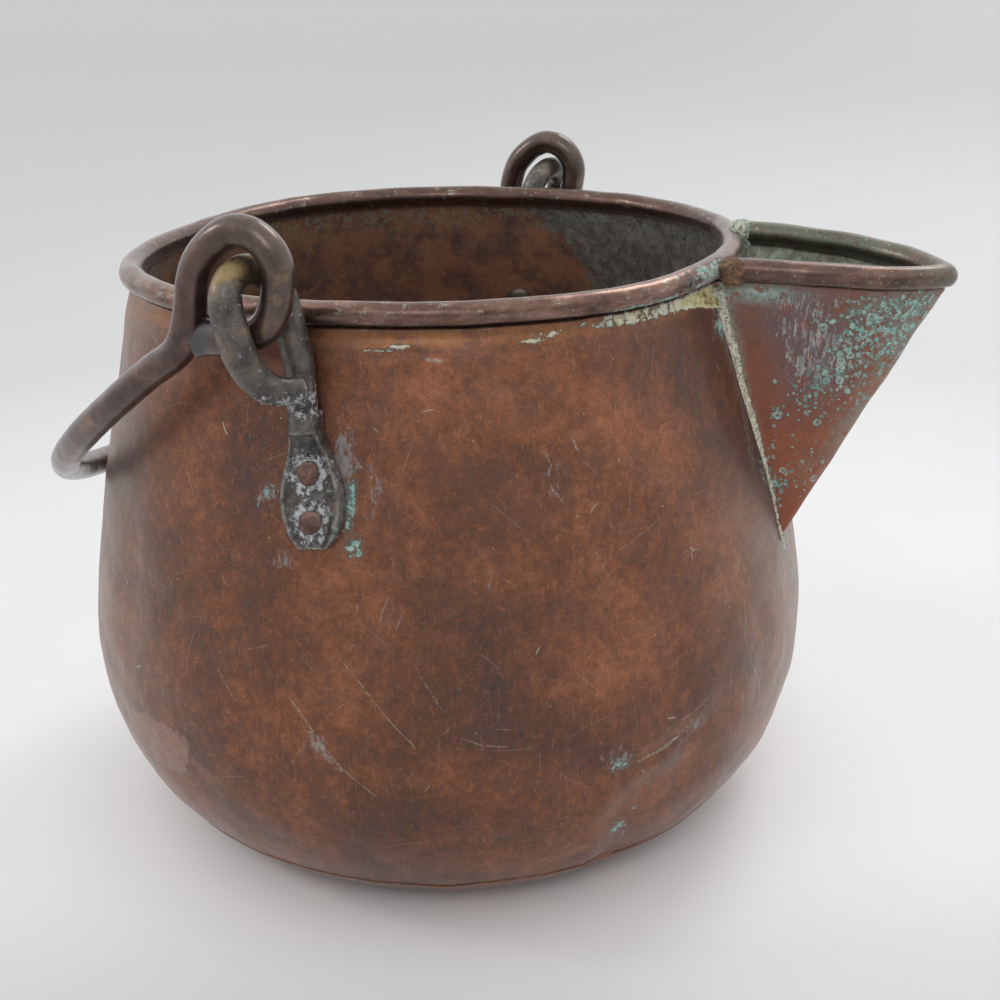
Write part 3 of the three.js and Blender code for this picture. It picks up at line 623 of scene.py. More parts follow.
def base_pan(material):
    """The base: a shallow pan whose edge laps up over the foot of the wall."""
    angle = full_turn(AROUND)
    edge = PAN_EDGE + 1.4 * np.interp(
        np.degrees(angle), np.linspace(0, 360, 25),
        np.concatenate([np.random.default_rng(5).uniform(-1, 0.4, 24), [0]]))
    rows = [pot_row(angle, radius, 0.0) for radius in (2.0, 20, 40, 60, 75, 85, 92)]
    for share in np.linspace(0, 1, 24):
        height = edge * share
        turned_up = 0.45 * smooth(share, 0.8, 0.97)
        rows.append(pot_row(angle, outline_radius(height), height, dented(angle, height) + turned_up))
    outer_rows = len(rows)
    for share in np.linspace(1, 0.06, 20):
        height = edge * share
        rows.append(pot_row(angle, outline_radius(height) - COPPER, height, dented(angle, height)))
    rows += [pot_row(angle, radius, COPPER) for radius in (94, 85, 70, 50, 30, 2.0)]
    points = np.array(rows)
    at = round_axis(points)[0]
    row = np.arange(len(rows))[:, None] * np.ones((1, AROUND))
    masks = wall_masks(at, points[..., 2], row < outer_rows)
    masks["roll"] = 0 * at
    masks["crust"] = 0.25 * (np.abs(row - outer_rows + 1) < 3)
    faces = flipped(grid_faces(len(rows), AROUND, True, True))
    return make_piece("base_pan_sheet", points, faces, material, "pot", "base_pan",
                      masks)


# Spout

def spout_root(side, lift):
    """Where the spout's rolled edge meets the outside of the rim."""
    x = RIM_RADIUS
    for _ in range(20):
        edge = RIM_RADIUS * roundness(math.atan2(side, x), RIM_HEIGHT) + ROLL + FIT
        x = math.sqrt(edge * edge - side * side)
    return np.array([x, side, RIM_HEIGHT + lift])


FRONT_ROOT, BACK_ROOT = spout_root(SPOUT_NEAR, 0), spout_root(SPOUT_FAR, SPOUT_FAR_LIFT)


def lip_curve(count):
    """Centreline of the spout's rolled edge, from the front root round the tip to the back."""
    angle = (np.linspace(0, 1, 1200) - 0.5) * math.pi
    forward = np.abs(np.cos(angle)) ** (2 / LIP_POWER)
    sideways = np.abs(np.sin(angle)) ** (2 / TIP_POWER)
    root = np.where(angle[:, None] < 0, FRONT_ROOT, BACK_ROOT)
    return even(np.stack([
        root[:, 0] + (SPOUT_TIP[0] - root[:, 0]) * forward,
        SPOUT_TIP[1] + (root[:, 1] - SPOUT_TIP[1]) * sideways,
        root[:, 2] + (SPOUT_TIP[2] - root[:, 2]) * forward ** 1.5,
    ], axis=1), count)


def spout_apex():
    """The lowest point of the spout, on the wall."""
    angle = math.asin(APEX_SIDE / outline_radius(APEX_HEIGHT))
    radius = wall_radius(angle, APEX_HEIGHT)
    return np.array([radius * math.cos(angle), radius * math.sin(angle), APEX_HEIGHT])


APEX = spout_apex()


def spout_slices(lip, rows, bury):
    """Rows of points on the folded sheet, each from the wall at the front to the wall at the back."""
    drop = ROLL - ROLL_SHEET / 2
    slices = []
    for share in np.linspace(0.02, 1, rows):
        edge = lip.copy()
        edge[:, 2] -= drop
        back = np.array([-SPOUT_BURY, 0, 0])
        fine = even(np.vstack([edge[:1] + back, edge, edge[-1:] + back]), 900)
        fine = APEX + (fine - APEX) * share
        at, reach = round_axis(fine)
        wall = wall_radius(at, fine[:, 2])
        out = np.where(reach > wall - bury)[0]
        fine = fine[max(out[0] - 1, 0):out[-1] + 2]
        slices.append(even(fine, len(lip)))
    slices[-1] = lip - np.array([0, 0, drop])
    return np.array(slices)


def closed_faces(rows, columns):
    """Faces of rows that run round in a ring, closed at both ends."""
    first = tuple(i * columns for i in range(rows))
    last = tuple(i * columns + columns - 1 for i in reversed(range(rows)))
    return grid_faces(rows, columns, True, False) + [first, last]


def spout(material):
    """The folded sheet and its rolled edge as one closed body."""
    columns = LIP_POINTS
    lip = lip_curve(columns)
    lip[:, 0] -= TIP_TRIM * smooth(lip[:, 0], 182, SPOUT_TIP[0])
    lip[:, 2] += 0.25 * field(lip, 30, 51)
    sheet = spout_slices(lip, SPOUT_LEVELS, 0.9)
    bumps = 0.28 * field(sheet, 32, 52) + 0.1 * field(sheet, 9, 53)
    calm = np.minimum(1, np.linspace(0, 3, len(sheet)))[:, None]
    across = np.gradient(sheet, axis=1)
    upward = np.gradient(sheet, axis=0)
    outward = unit(np.cross(across, upward) + 1e-9)
    if outward[SPOUT_LEVELS // 2, columns // 2, 0] < 0:
        outward = -outward
    sheet = sheet + outward * (bumps * calm)[..., None]
    tangent = unit(np.gradient(lip, axis=0))
    side = unit(np.cross(tangent, UP))
    over = np.cross(side, tangent)
    outer = list(sheet[:-1] + outward[:-1] * COPPER / 2)
    inner = list((sheet[:-1] - outward[:-1] * COPPER / 2)[::-1])
    roll = []
    for reach, turns in ((ROLL - ROLL_SHEET, np.linspace(-82, -408, 24)),
                         (ROLL, np.linspace(-408, -118, 36))):
        for turn in np.radians(turns):
            roll.append(lip + side * reach * math.cos(turn) + over * reach * math.sin(turn))
    rows = outer + roll + inner
    points = np.array(rows)
    side = np.repeat([OUTSIDE, ON_ROLL, INSIDE], [len(outer), len(roll), len(inner)])
    side = side[:, None] * np.ones((1, columns))
    faces = closed_faces(len(rows), columns)
    masks = spout_masks(points, side, columns)
    return make_piece("spout_sheet", points, faces, material, "pot", "spout",
                      masks)


def spout_masks(points, side, columns):
    """Where the spout is green, streaked white, smeared or dark."""
    x, height = points[..., 0], points[..., 2]
    outside = (side == OUTSIDE).astype(float)

    def patch(middle, level, wide, tall):
        return np.exp(-((x - middle) / wide) ** 2 - ((height - level) / tall) ** 2)

    ridge = APEX[0] + (SPOUT_TIP[0] - APEX[0]) * (height - APEX[2]) / (SPOUT_TIP[2] - APEX[2])
    beside = bell(np.maximum(ridge - x - 2, 0), 20)
    green = 0.8 * smooth(height, 175, 205) * beside
    for middle, level, wide, tall, strong in [
        (170, 214, 15, 12, 0.9), (156, 192, 13, 12, 0.7),
        (139, 178, 4, 5, 1.0), (137, 158, 3, 9, 0.95), (140, 149, 4, 4, 0.9), (149, 160, 5, 8, 0.75),
        (147, 150, 5, 5, 0.6), (139, 142, 4, 6, 0.8), (150, 183, 6, 6, 0.55),
    ]:
        green = green + strong * patch(middle, level, wide, tall)
    white = (patch(146, 208, 12, 18) + 0.9 * patch(158, 198, 10, 14)
             + 0.7 * patch(150, 156, 4, 7) + 0.5 * patch(150, 222, 22, 4))
    seam = bell(np.arange(columns), 6.5)[None, :] * np.ones_like(height)
    seam = seam + seam[:, ::-1] + patch(132, 225, 12, 3.5)
    by_ridge = bell(np.maximum(ridge - x - 1, 0), 7) * smooth(height, 140, 180)
    haze = patch(180, 220, 16, 9) + 0.9 * by_ridge
    purple = patch(144, 218, 22, 13) + patch(150, 200, 14, 20)
    masks = {"green": green, "white": white, "haze": haze, "purple": purple, "seam": seam}
    masks = {name: np.clip(values, 0, 1) * outside for name, values in masks.items()}
    masks.update(inside=side == INSIDE, roll=side == ON_ROLL)
    return masks


def seam_line(side, count):
    """The line where the spout's sheet meets the wall, on one side, from the top down."""
    lip = lip_curve(LIP_POINTS)
    edges = spout_slices(lip, count, 0.0)[:, 0 if side < 0 else -1]
    return edges[::-1]


def solder(material):
    """The smeared solder fillet: down the front seam, round the apex and up the back one."""
    front, back = seam_line(-1, 60), seam_line(1, 60)[::-1]
    toe = APEX + unit(np.array([APEX[0], APEX[1], 0])) * 0.8 - UP * 1.4
    path = even(np.vstack([front[1:], toe[None], back[:-1]]), SOLDER_POINTS)
    path = np.stack([np.convolve(np.pad(path[:, k], 5, mode="edge"), np.ones(11) / 11, "valid")
                     for k in range(3)], axis=1)
    lift = dented(round_axis(path)[0], path[:, 2])
    tangent = unit(np.gradient(path, axis=0))
    wall_out = unit(path * np.array([1.0, 1.0, 0.0]))
    wall_out = unit(wall_out - tangent * dots(wall_out, tangent))
    on_wall = np.cross(wall_out, tangent)
    middle = APEX + np.array([20, 10, 50])
    on_wall *= -np.sign(dots(on_wall, middle - path))
    apart = np.abs(path[:, 2] - APEX[2]) / (SPOUT_TIP[2] - APEX[2])
    wide = 1.6 + 3.4 * smooth(apart, 0.02, 0.95) + 0.35 * field(path, 24, 61)
    spread = np.linspace(0, 1, 12)
    rows = []
    for share in spread:
        left, right = (1 - share) ** 2, share ** 2
        bow = 2 * share * (1 - share)
        rows.append(path + on_wall * (left * wide + bow * 0.9)[:, None]
                    + wall_out * (0.45 * left + right * wide * 0.7 + bow * 0.9)[:, None]
                    - on_wall * (right * 0.55))
    for back_share in (0.66, 0.33):
        rows.append(path - wall_out * 0.9 + on_wall * (wide * back_share * 0.4)[:, None])
    points = np.array(rows)
    points[:8] += wall_out * np.maximum(lift, 0)[:, None]
    rough = 0.30 * field(points, 3.2, 63) + 0.16 * field(points, 1.7, 64)
    points[:12] += wall_out * rough[:12, :, None] * np.sin(spread * math.pi)[:, None, None] ** 0.4
    parts = [(points.reshape(-1, 3), closed_faces(*points.shape[:2]))]
    for place, size, seed in ((FRONT_ROOT + [3.2, -0.9, 0.1], (6.2, 5.0, 5.2), 65),
                              (BACK_ROOT + [-1.0, -3.2, 0.6], (4.6, 5.2, 4.6), 66),
                              (BACK_ROOT + [-1.5, -1.0, -5.0], (4.2, 4.0, 6.0), 67)):
        parts.append(lump(place, size, seed))
    shapes, faces = joined(parts)
    rust = np.exp(-np.sum((shapes - FRONT_ROOT - [3.0, 0, 1.5]) ** 2, axis=1) / 75)
    green = np.exp(-np.sum((shapes - BACK_ROOT) ** 2, axis=1) / 260)
    return make_piece("spout_solder_fillet", shapes, faces, material, "pot", "spout_solder",
                      {"rust": rust, "green": green})


def lump(place, size, seed):
    """An uneven blob of solder."""
    sides, levels = 36, 20
    turn = full_turn(sides)
    tilt = np.linspace(0.04, math.pi - 0.04, levels)
    ball = np.stack([np.outer(np.sin(tilt), np.cos(turn)), np.outer(np.sin(tilt), np.sin(turn)),
                     np.outer(np.cos(tilt), np.ones(sides))], axis=-1)
    points = place + ball * np.array(size)
    points += ball * (0.7 * field(points, 6, seed) + 0.25 * field(points, 2.4, seed + 9))[..., None]
    faces = grid_faces(levels, sides, False, True)
    faces += [tuple(reversed(range(sides))), tuple((levels - 1) * sides + j for j in range(sides))]
    return points.reshape(-1, 3), faces


# Ears

def pot_side(angle):
    """The level direction away from the pot at an angle."""
    return np.array([math.cos(angle), math.sin(angle), 0.0])


def plate_frame(angle):
    """Sideways, along and outward directions of an ear's plate, and its middle on the wall."""
    radius = float(wall_radius(angle, PLATE_HEIGHT))
    tilt = math.atan(-float(outline_slope(PLATE_HEIGHT)))
    outward = pot_side(angle)
    sideways = np.cross(UP, outward)
    normal = outward * math.cos(tilt) + UP * math.sin(tilt)
    turn = Matrix.Rotation(EAR_LEAN, 3, Vector(normal))
    sideways = np.array(turn @ Vector(sideways))
    along = np.cross(normal, sideways)
    origin = outward * radius
    origin[2] = PLATE_HEIGHT
    return sideways, along, normal, origin


def leaf_half_width(y):
    """Half width of the riveted plate at a distance along it."""
    at = [-PLATE_BELOW, -PLATE_BELOW + 0.7, -PLATE_BELOW * 0.75, -PLATE_BELOW * 0.4, -1, 4,
          8, 13, 18, 23, PLATE_ABOVE]
    half = [PLATE_FOOT_HALF - 0.4, PLATE_FOOT_HALF + 1.0, 8.8, 11.0, PLATE_HALF, PLATE_HALF - 0.7,
            9.9, 7.9, 6.2, 5.3, PLATE_NECK_HALF - 0.3]
    return np.interp(y, at, half)


def stem_reach(angle, height):
    """Distance of a stem's or ring's centreline from the pot's axis."""
    wall = wall_radius(angle, np.minimum(height, RIM_HEIGHT - ROLL))
    rim = RIM_RADIUS * roundness(angle, RIM_HEIGHT) + ROLL
    share = smooth(height, 200.0, RIM_HEIGHT - ROLL)
    surface = wall * (1 - share) + np.maximum(wall, rim) * share
    return surface + 2 * FIT + EAR_WIRE / 2


def ring_point(angle, arch, out, height):
    """A point of an ear's ring: out is its distance from the stem, in the twisted plane."""
    rise = max(height - (arch - RING_DROP), 0) / RING_DROP
    lean = -math.tan(EAR_LEAN) * (height - PLATE_HEIGHT) - STEM_BEND * rise * rise
    reach = float(stem_reach(angle, min(height, RIM_HEIGHT))) + out * math.cos(RING_TWIST)
    side = lean - out * math.sin(RING_TWIST)
    return np.array([reach * math.cos(angle) - side * math.sin(angle),
                     reach * math.sin(angle) + side * math.cos(angle), height])


def ring_path(angle, arch):
    """Centreline of stem and ring; the tail ends lying over the stem's front."""
    half = RING_SPAN / 2
    spring = arch - half
    foot = PLATE_HEIGHT + STEM_FOOT
    points = [ring_point(angle, arch, 0, foot + (spring - foot) * i / 4) for i in range(4)]
    for i in range(7):
        turn = math.pi * (1 - i / 6)
        points.append(ring_point(angle, arch, half + half * math.cos(turn),
                                 spring + half * math.sin(turn)))
    corners = np.array([[RING_SPAN, spring], [RING_SPAN * 1.08, arch - RING_DROP * TAIL_DIP],
                        [1, arch - RING_DROP]])
    sideways = np.array([-math.sin(angle), math.cos(angle), 0.0])
    for share, over in ((0.3, 0), (0.5, 0.05), (0.7, 0.3), (0.85, 0.65), (1, 1)):
        x, y = ((1 - share) ** 2 * corners[0] + 2 * share * (1 - share) * corners[1]
                + share ** 2 * corners[2])
        points.append(ring_point(angle, arch, x + TAIL_FRONT * over, y + TAIL_RISE * over)
                      + sideways * TAIL_SIDE * over)
    return even(centripetal(points, 400), EAR_POINTS)


def plate_mesh(angle):
    """The flat forged plate, bent to the wall, with softened edges."""
    sideways, along, normal, origin = plate_frame(angle)
    ys = np.linspace(-PLATE_BELOW, PLATE_ABOVE, 90)
    xs = np.linspace(-1, 1, 35)
    top, bottom = [], []
    for y in ys:
        half = leaf_half_width(y)
        for x in xs:
            edge = 1 - abs(x) ** 12
            border = bell(abs(x) - 0.86, 0.1) - 0.6 * bell(x - 0.62, 0.1)
            thick = 1.9 + (PLATE_THICKNESS - 2.0) * edge + 1.2 * border
            stem = float(smooth(np.array(y), 9, PLATE_ABOVE - 2))
            thick += (EAR_WIRE - 2.6) * stem * math.sqrt(max(1 - x * x, 0))
            flat = origin + sideways * x * half + along * y
            reach = math.hypot(flat[0], flat[1])
            wall = float(wall_radius(math.atan2(flat[1], flat[0]), flat[2]))
            on_wall = flat * np.array([wall / reach, wall / reach, 1])
            top.append(on_wall + normal * (FIT + thick))
            bottom.append(on_wall + normal * FIT)
    rows, columns = len(ys), len(xs)
    points = np.array(top + bottom)
    count = rows * columns
    faces = grid_faces(rows, columns, False, False)
    faces += flipped(grid_faces(rows, columns, False, False, count))
    rim = ([(0, j) for j in range(columns)]
           + [(i, columns - 1) for i in range(1, rows)]
           + [(rows - 1, j) for j in range(columns - 2, -1, -1)]
           + [(i, 0) for i in range(rows - 2, 0, -1)])
    for k, (i, j) in enumerate(rim):
        i2, j2 = rim[(k + 1) % len(rim)]
        a, b = i * columns + j, i2 * columns + j2
        faces.append((b, a, a + count, b + count))
    return points, faces


def joined(parts):
    """Several meshes as one list of points and faces."""
    points, faces, start = [], [], 0
    for part_points, part_faces in parts:
        points.append(part_points)
        faces += [tuple(start + i for i in face) for face in part_faces]
        start += len(part_points)
    return np.vstack(points), faces


def ear(name, node, angle, arch, material):
    """Plate, stem and ring melted into one forging."""
    path = ring_path(angle, arch)
    share = np.linspace(0, 1, len(path))
    swell = 1 + 0.13 * bell(share - 0.74, 0.12) + 0.02 * field(path, 14, 71)
    radius = EAR_WIRE / 2 * swell * (1 - 0.14 * smooth(share, 0.9, 1.0))
    outward = pot_side(angle)
    thicker = np.maximum(radius - EAR_WIRE / 2, 0) * smooth(share, 0.4, 0.6)
    path = path - outward * thicker[:, None]
    _, along, normal, origin = plate_frame(angle)
    foot = ring_point(angle, arch, 0, PLATE_HEIGHT + STEM_FOOT)
    low = origin + along * 15 + normal * (FIT + 2.2)
    root = even(centripetal([low, (low + foot) / 2 + normal * 0.6, foot, path[6]], 60), 30)
    tail_tip = path[-1] + unit(path[-1] - path[-4]) * 1.2
    parts = [plate_mesh(angle), swept(path, radius, 28),
             swept(root, np.linspace(2.6, EAR_WIRE / 2, 30), 20),
             swept(even(np.array([path[-6], path[-1], tail_tip]), 12),
                   np.linspace(EAR_WIRE / 2 - 0.8, EAR_WIRE / 2 - 1.5, 12), 20)]
    points, faces = joined(parts)
    piece = make_piece(name, points, faces, material, "pot", node)
    melt = piece.modifiers.new("melt", "REMESH")
    melt.mode = "VOXEL"
    melt.voxel_size = EAR_VOXEL * MM
    melt.use_smooth_shade = True
    ease = piece.modifiers.new("ease", "SMOOTH")
    ease.factor = 0.5
    ease.iterations = 3
    return piece


def rivet_place(angle, side):
    """Middle of an ear's upper (1) or lower (-1) rivet, on the wall."""
    _, along, _, origin = plate_frame(angle)
    return origin + along * side * RIVET_SPACING / 2


def rivet(name, node, angle, side, material):
    """A hammered rivet: flat round head outside, shank, domed head inside."""
    sideways, along, normal, _ = plate_frame(angle)
    point = rivet_place(angle, side)
    bulge = float(wall_radius(angle, point[2])) - math.hypot(point[0], point[1])
    face = FIT + PLATE_THICKNESS + FIT
    back = bulge - COPPER - 2 * FIT
    profile = even(centripetal([
        (0.05, face + 1.25), (1.6, face + 1.22), (3.0, face + 1.1), (3.8, face + 0.75),
        (4.1, face + 0.2), (3.9, face), (2.5, face)], 60), 26)
    shank = np.array([[2.5, face - 0.5], [2.5, back + 0.4]])
    dome = even(centripetal([(2.5, back), (5.2, back), (5.5, back - 0.4), (4.6, back - 1.7),
                             (2.5, back - 2.6), (0.05, back - 2.9)], 60), 22)
    outline = np.vstack([profile, shank, dome])
    sides = 40
    turn = full_turn(sides)
    seed = 80 + (1 if side > 0 else 2) + (0 if angle < 0 else 4)
    uneven = 1 + 0.05 * np.sin(2 * turn + seed) + 0.03 * np.sin(3 * turn + 2 * seed)
    rings = []
    for radius, height in outline:
        spread = uneven if radius > 2.6 else 1.0
        rings.append(point + normal * height
                     + np.outer(np.cos(turn) * radius * spread, sideways)
                     + np.outer(np.sin(turn) * radius * spread, along))
    points = np.array(rings).reshape(-1, 3)
    dish = 0.12 * field(points, 3.5, seed)
    points = points + normal * dish[:, None] * (np.repeat(outline[:, 1] > face, sides)[:, None])
    points = np.vstack([points, point + normal * (face + 1.25), point + normal * (back - 2.9)])
    faces = grid_faces(len(outline), sides, False, True) + fans(len(outline), sides)
    inner = (points - point) @ normal < 0
    return make_piece(name, points, faces, material, "pot", node, {"inside": inner})


# Bail

def bail_matrix():
    """Directions of the bail at rest, its middle, and the distance between its eyes."""
    front = ring_point(FRONT_ANGLE, FRONT_ARCH, RING_SPAN / 2, FRONT_ARCH)
    back = ring_point(BACK_ANGLE, BACK_ARCH, RING_SPAN / 2, BACK_ARCH)
    along = unit(back - front)
    across = unit(np.cross(along, UP))
    above = np.cross(across, along)
    swing = np.array([[math.cos(BAIL_SWING), 0, math.sin(BAIL_SWING)], [0, 1, 0],
                      [-math.sin(BAIL_SWING), 0, math.cos(BAIL_SWING)]])
    turn = np.stack([across, along, above], axis=1) @ swing
    return turn, (front + back) / 2, float(np.linalg.norm(back - front))


def bail(material):
    """One rod from eye to eye, with hammered flat ends."""
    turn, middle, span = bail_matrix()
    half = span / 2
    eye = EYE_OUTLINE + [EYE_END]
    points = [(x, -half, z) for x, z in reversed(eye)]
    steps = 16
    for i in range(2 * steps + 1):
        at = (i / steps - 1) * math.pi / 2
        y = math.copysign(half * abs(math.sin(at)) ** (2 / BAIL_WIDTH_POWER), at)
        depth = BAIL_DEPTH * abs(math.cos(at)) ** (2 / BAIL_DEPTH_POWER)
        if depth > BOW_START + BAIL_ROD:
            points.append((BAIL_OFFSET, y, -depth))
    points += [(x, half, z) for x, z in eye]
    path = even(centripetal(points, 1600), BAIL_POINTS)
    near_end = 0.75
    path = np.vstack([path[:1], path[:1] * near_end + path[1:2] * (1 - near_end), path[1:-1],
                      path[-1:] * near_end + path[-2:-1] * (1 - near_end), path[-1:]])
    length = lengths(path)
    ends = np.minimum(length, length[-1] - length)
    path = path @ turn.T + middle
    radius = BAIL_ROD / 2 * (1 + 0.015 * field(path, 30, 91) + 0.012 * field(path, 9, 92))
    flat = 1 - smooth(ends, 2, END_FLAT)
    radius = radius * (1 + 0.12 * flat) * np.where(ends < 0.01, 0.95, 1.0)
    sides = 30
    points, faces = swept(path, radius, sides)
    ring_of = np.concatenate([[0], np.arange(len(path)), [len(path) - 1]])
    ring_of = np.concatenate([np.repeat(ring_of, sides), [0, len(path) - 1]])
    pivot = turn[:, 1]
    reach = (points - path[ring_of]) @ pivot
    points = points - pivot * (reach * 0.42 * flat[ring_of])[:, None]
    contact = bell(ends - 45, 30)
    masks = {"end": contact[ring_of], "cut_end_and_shade": 1 - smooth(ends[ring_of], 5, 14)}
    return make_piece("bail_rod", points, faces, material, "bail_handle", "bail", masks)


# Materials

class Nodes:
    """Short calls for building a node tree."""

    def __init__(self, tree):
        self.tree = tree
        tree.nodes.clear()

    def add(self, kind, **settings):
        node = self.tree.nodes.new(kind)
        for key, value in settings.items():
            setattr(node, key, value)
        return node

    def join(self, source, socket):
        self.tree.links.new(source, socket)

    def put(self, value, socket):
        """Joins an output to the socket, or sets the socket's own value."""
        if isinstance(value, bpy.types.NodeSocket):
            self.join(value, socket)
        elif socket.type == "RGBA":
            socket.default_value = (*value, 1)
        else:
            socket.default_value = value

    def made(self, kind, output, values, **settings):
        """One output of a new node whose inputs are filled."""
        node = self.add(kind, **settings)
        for name, value in values.items():
            self.put(value, node.inputs[name])
        return node.outputs[output]

    def math(self, operation, *values, clamp=False):
        return self.made("ShaderNodeMath", 0, dict(enumerate(values)), operation=operation,
                         use_clamp=clamp)

    def chain(self, operation, values, clamp=False):
        total = values[0]
        for value in values[1:]:
            total = self.math(operation, total, value, clamp=clamp)
        return total

    def times(self, *values):
        return self.chain("MULTIPLY", values)

    def plus(self, *values, clamp=False):
        return self.chain("ADD", values, clamp)

    def minus(self, a, b):
        return self.math("SUBTRACT", a, b)

    def most(self, *values):
        return self.chain("MAXIMUM", values)

    def span(self, value, low, high, kind="LINEAR"):
        """0 at low to 1 at high, in a straight line."""
        values = {"Value": value, "From Min": low, "From Max": high}
        return self.made("ShaderNodeMapRange", 0, values, interpolation_type=kind, clamp=True)

    def step(self, value, low, high):
        """0 below low, 1 above high, smooth between; the other way round if low is above high."""
        return self.span(value, low, high, "SMOOTHSTEP")

    def vector(self, operation, *values):
        output = "Value" if operation in ("DOT_PRODUCT", "DISTANCE", "LENGTH") else "Vector"
        return self.made("ShaderNodeVectorMath", output, dict(enumerate(values)), operation=operation)

    def parts(self, source, kind="ShaderNodeSeparateColor"):
        """The three parts of a colour or a place."""
        node = self.add(kind)
        self.join(source, node.inputs[0])
        return node.outputs


class Look(Nodes):
    """Nodes of one material. Its place is in millimetres in the frame."""

    def __init__(self, name):
        self.material = bpy.data.materials.new(name)
        self.material.use_nodes = True
        super().__init__(self.material.node_tree)
        self.shader = self.add("ShaderNodeBsdfPrincipled")
        output = self.add("ShaderNodeOutputMaterial")
        self.join(self.shader.outputs[0], output.inputs["Surface"])
        place = self.add("ShaderNodeTexCoord").outputs["Object"]
        self.place = self.made(
            "ShaderNodeVectorMath", 0, {0: place, "Scale": 1 / MM}, operation="SCALE")

    def axes(self):
        return self.parts(self.place, "ShaderNodeSeparateXYZ")

    def stretch(self, factors, turn=(0, 0, 0)):
        """The place multiplied along each axis."""
        return self.made("ShaderNodeMapping", 0, {
            "Vector": self.place, "Scale": factors, "Rotation": turn})

    def noise(self, size, detail=4.0, roughness=0.5, distortion=0.0, place=None, shift=0.0):
        """Noise whose features are about size millimetres."""
        return self.made("ShaderNodeTexNoise", "Fac", {
            "Vector": place or self.place, "W": shift, "Scale": 1 / size, "Detail": detail,
            "Roughness": roughness, "Distortion": distortion}, noise_dimensions="4D")

    def patches(self, low, high, *noise, **settings):
        """Patches of noise: 0 where it is below low and 1 where it is above high."""
        return self.step(self.noise(*noise, **settings), low, high)

    def varied(self, base, amount, *noise, **settings):
        """A base value with up to an amount of noise added."""
        return self.plus(base, self.times(self.noise(*noise, **settings), amount))

    def cells(self, size, feature="F1", place=None):
        node = self.add("ShaderNodeTexVoronoi", feature=feature)
        self.join(place or self.place, node.inputs["Vector"])
        node.inputs["Scale"].default_value = 1 / size
        return node.outputs

    def ramp(self, value, stops):
        node = self.add("ShaderNodeValToRGB")
        self.put(value, node.inputs[0])
        elements = node.color_ramp.elements
        while len(elements) < len(stops):
            elements.new(0.5)
        for element, (position, colour) in zip(elements, stops):
            element.position = position
            element.color = (*colour, 1)
        return node.outputs[0]

    def mix(self, share, a, b, blend="MIX"):
        return self.made("ShaderNodeMix", 2, {0: share, 6: a, 7: b}, data_type="RGBA",
                         blend_type=blend, clamp_factor=True)

    def paint(self, tone, colour, *shares):
        """The tone with a colour laid over it by the product of the shares."""
        return self.mix(self.times(*shares), tone, colour)

    def shade(self, tone, amount):
        return self.mix(1.0, tone, amount, "MULTIPLY")

    def mask(self, name):
        return self.add("ShaderNodeAttribute", attribute_name=name).outputs["Fac"]

    def bump(self, height, distance, below=None):
        """Bumps of about distance millimetres."""
        values = {"Strength": 1.0, "Distance": distance * MM, "Height": height}
        if below is not None:
            values["Normal"] = below
        return self.made("ShaderNodeBump", 0, values)

    def finish(self, colour, metal, roughness, normal=None, coat=0.0, dust=0.0):
        for name, value in (
                ("Base Color", colour), ("Metallic", metal), ("Roughness", roughness),
                ("Sheen Weight", dust), ("Sheen Roughness", 0.4), ("Coat Weight", coat),
                ("Coat Roughness", 0.2)):
            self.put(value, self.shader.inputs[name])
        if normal is not None:
            self.join(normal, self.shader.inputs["Normal"])
        return self.material


# The two colours of verdigris
TURQUOISE = (0.17, 0.42, 0.38)
PALE_GREEN = (0.42, 0.59, 0.52)


def copper_tone(look, shift, warmth):
    """Brown patina in soft clouds, mottles and grain, redder and lighter where warmth is added; on the
    wall that is partly painted light.
    """
    broad = look.noise(46, 2, 0.5, 0.3, shift=shift)
    patch = look.noise(13, 8, 0.68, 0.5, shift=shift + 3)
    fine = look.noise(3.4, 8, 0.80, 0.3, shift=shift + 5)
    mixed = look.plus(look.times(broad, 0.28), look.times(patch, 0.28), look.times(fine, 0.44), warmth)
    tone = look.ramp(mixed, [
        (0.40, (0.102, 0.062, 0.052)), (0.46, (0.146, 0.070, 0.049)), (0.51, (0.198, 0.084, 0.050)),
        (0.56, (0.270, 0.110, 0.059)), (0.64, (0.39, 0.163, 0.084))])
    bluish = look.patches(0.48, 0.60, 17, 8, 0.72, 0.5, shift=shift + 11)
    tone = look.paint(tone, (0.150, 0.080, 0.064), bluish, 0.38)
    rosy = look.patches(0.56, 0.62, 4, 8, 0.74, 0.6, shift=shift + 13)
    tone = look.paint(tone, (0.42, 0.140, 0.075), rosy, 0.34)
    grain = look.noise(0.8, 4, 0.75, shift=shift + 7)
    shade = look.plus(0.58, look.times(grain, 0.84))
    return look.shade(tone, shade)


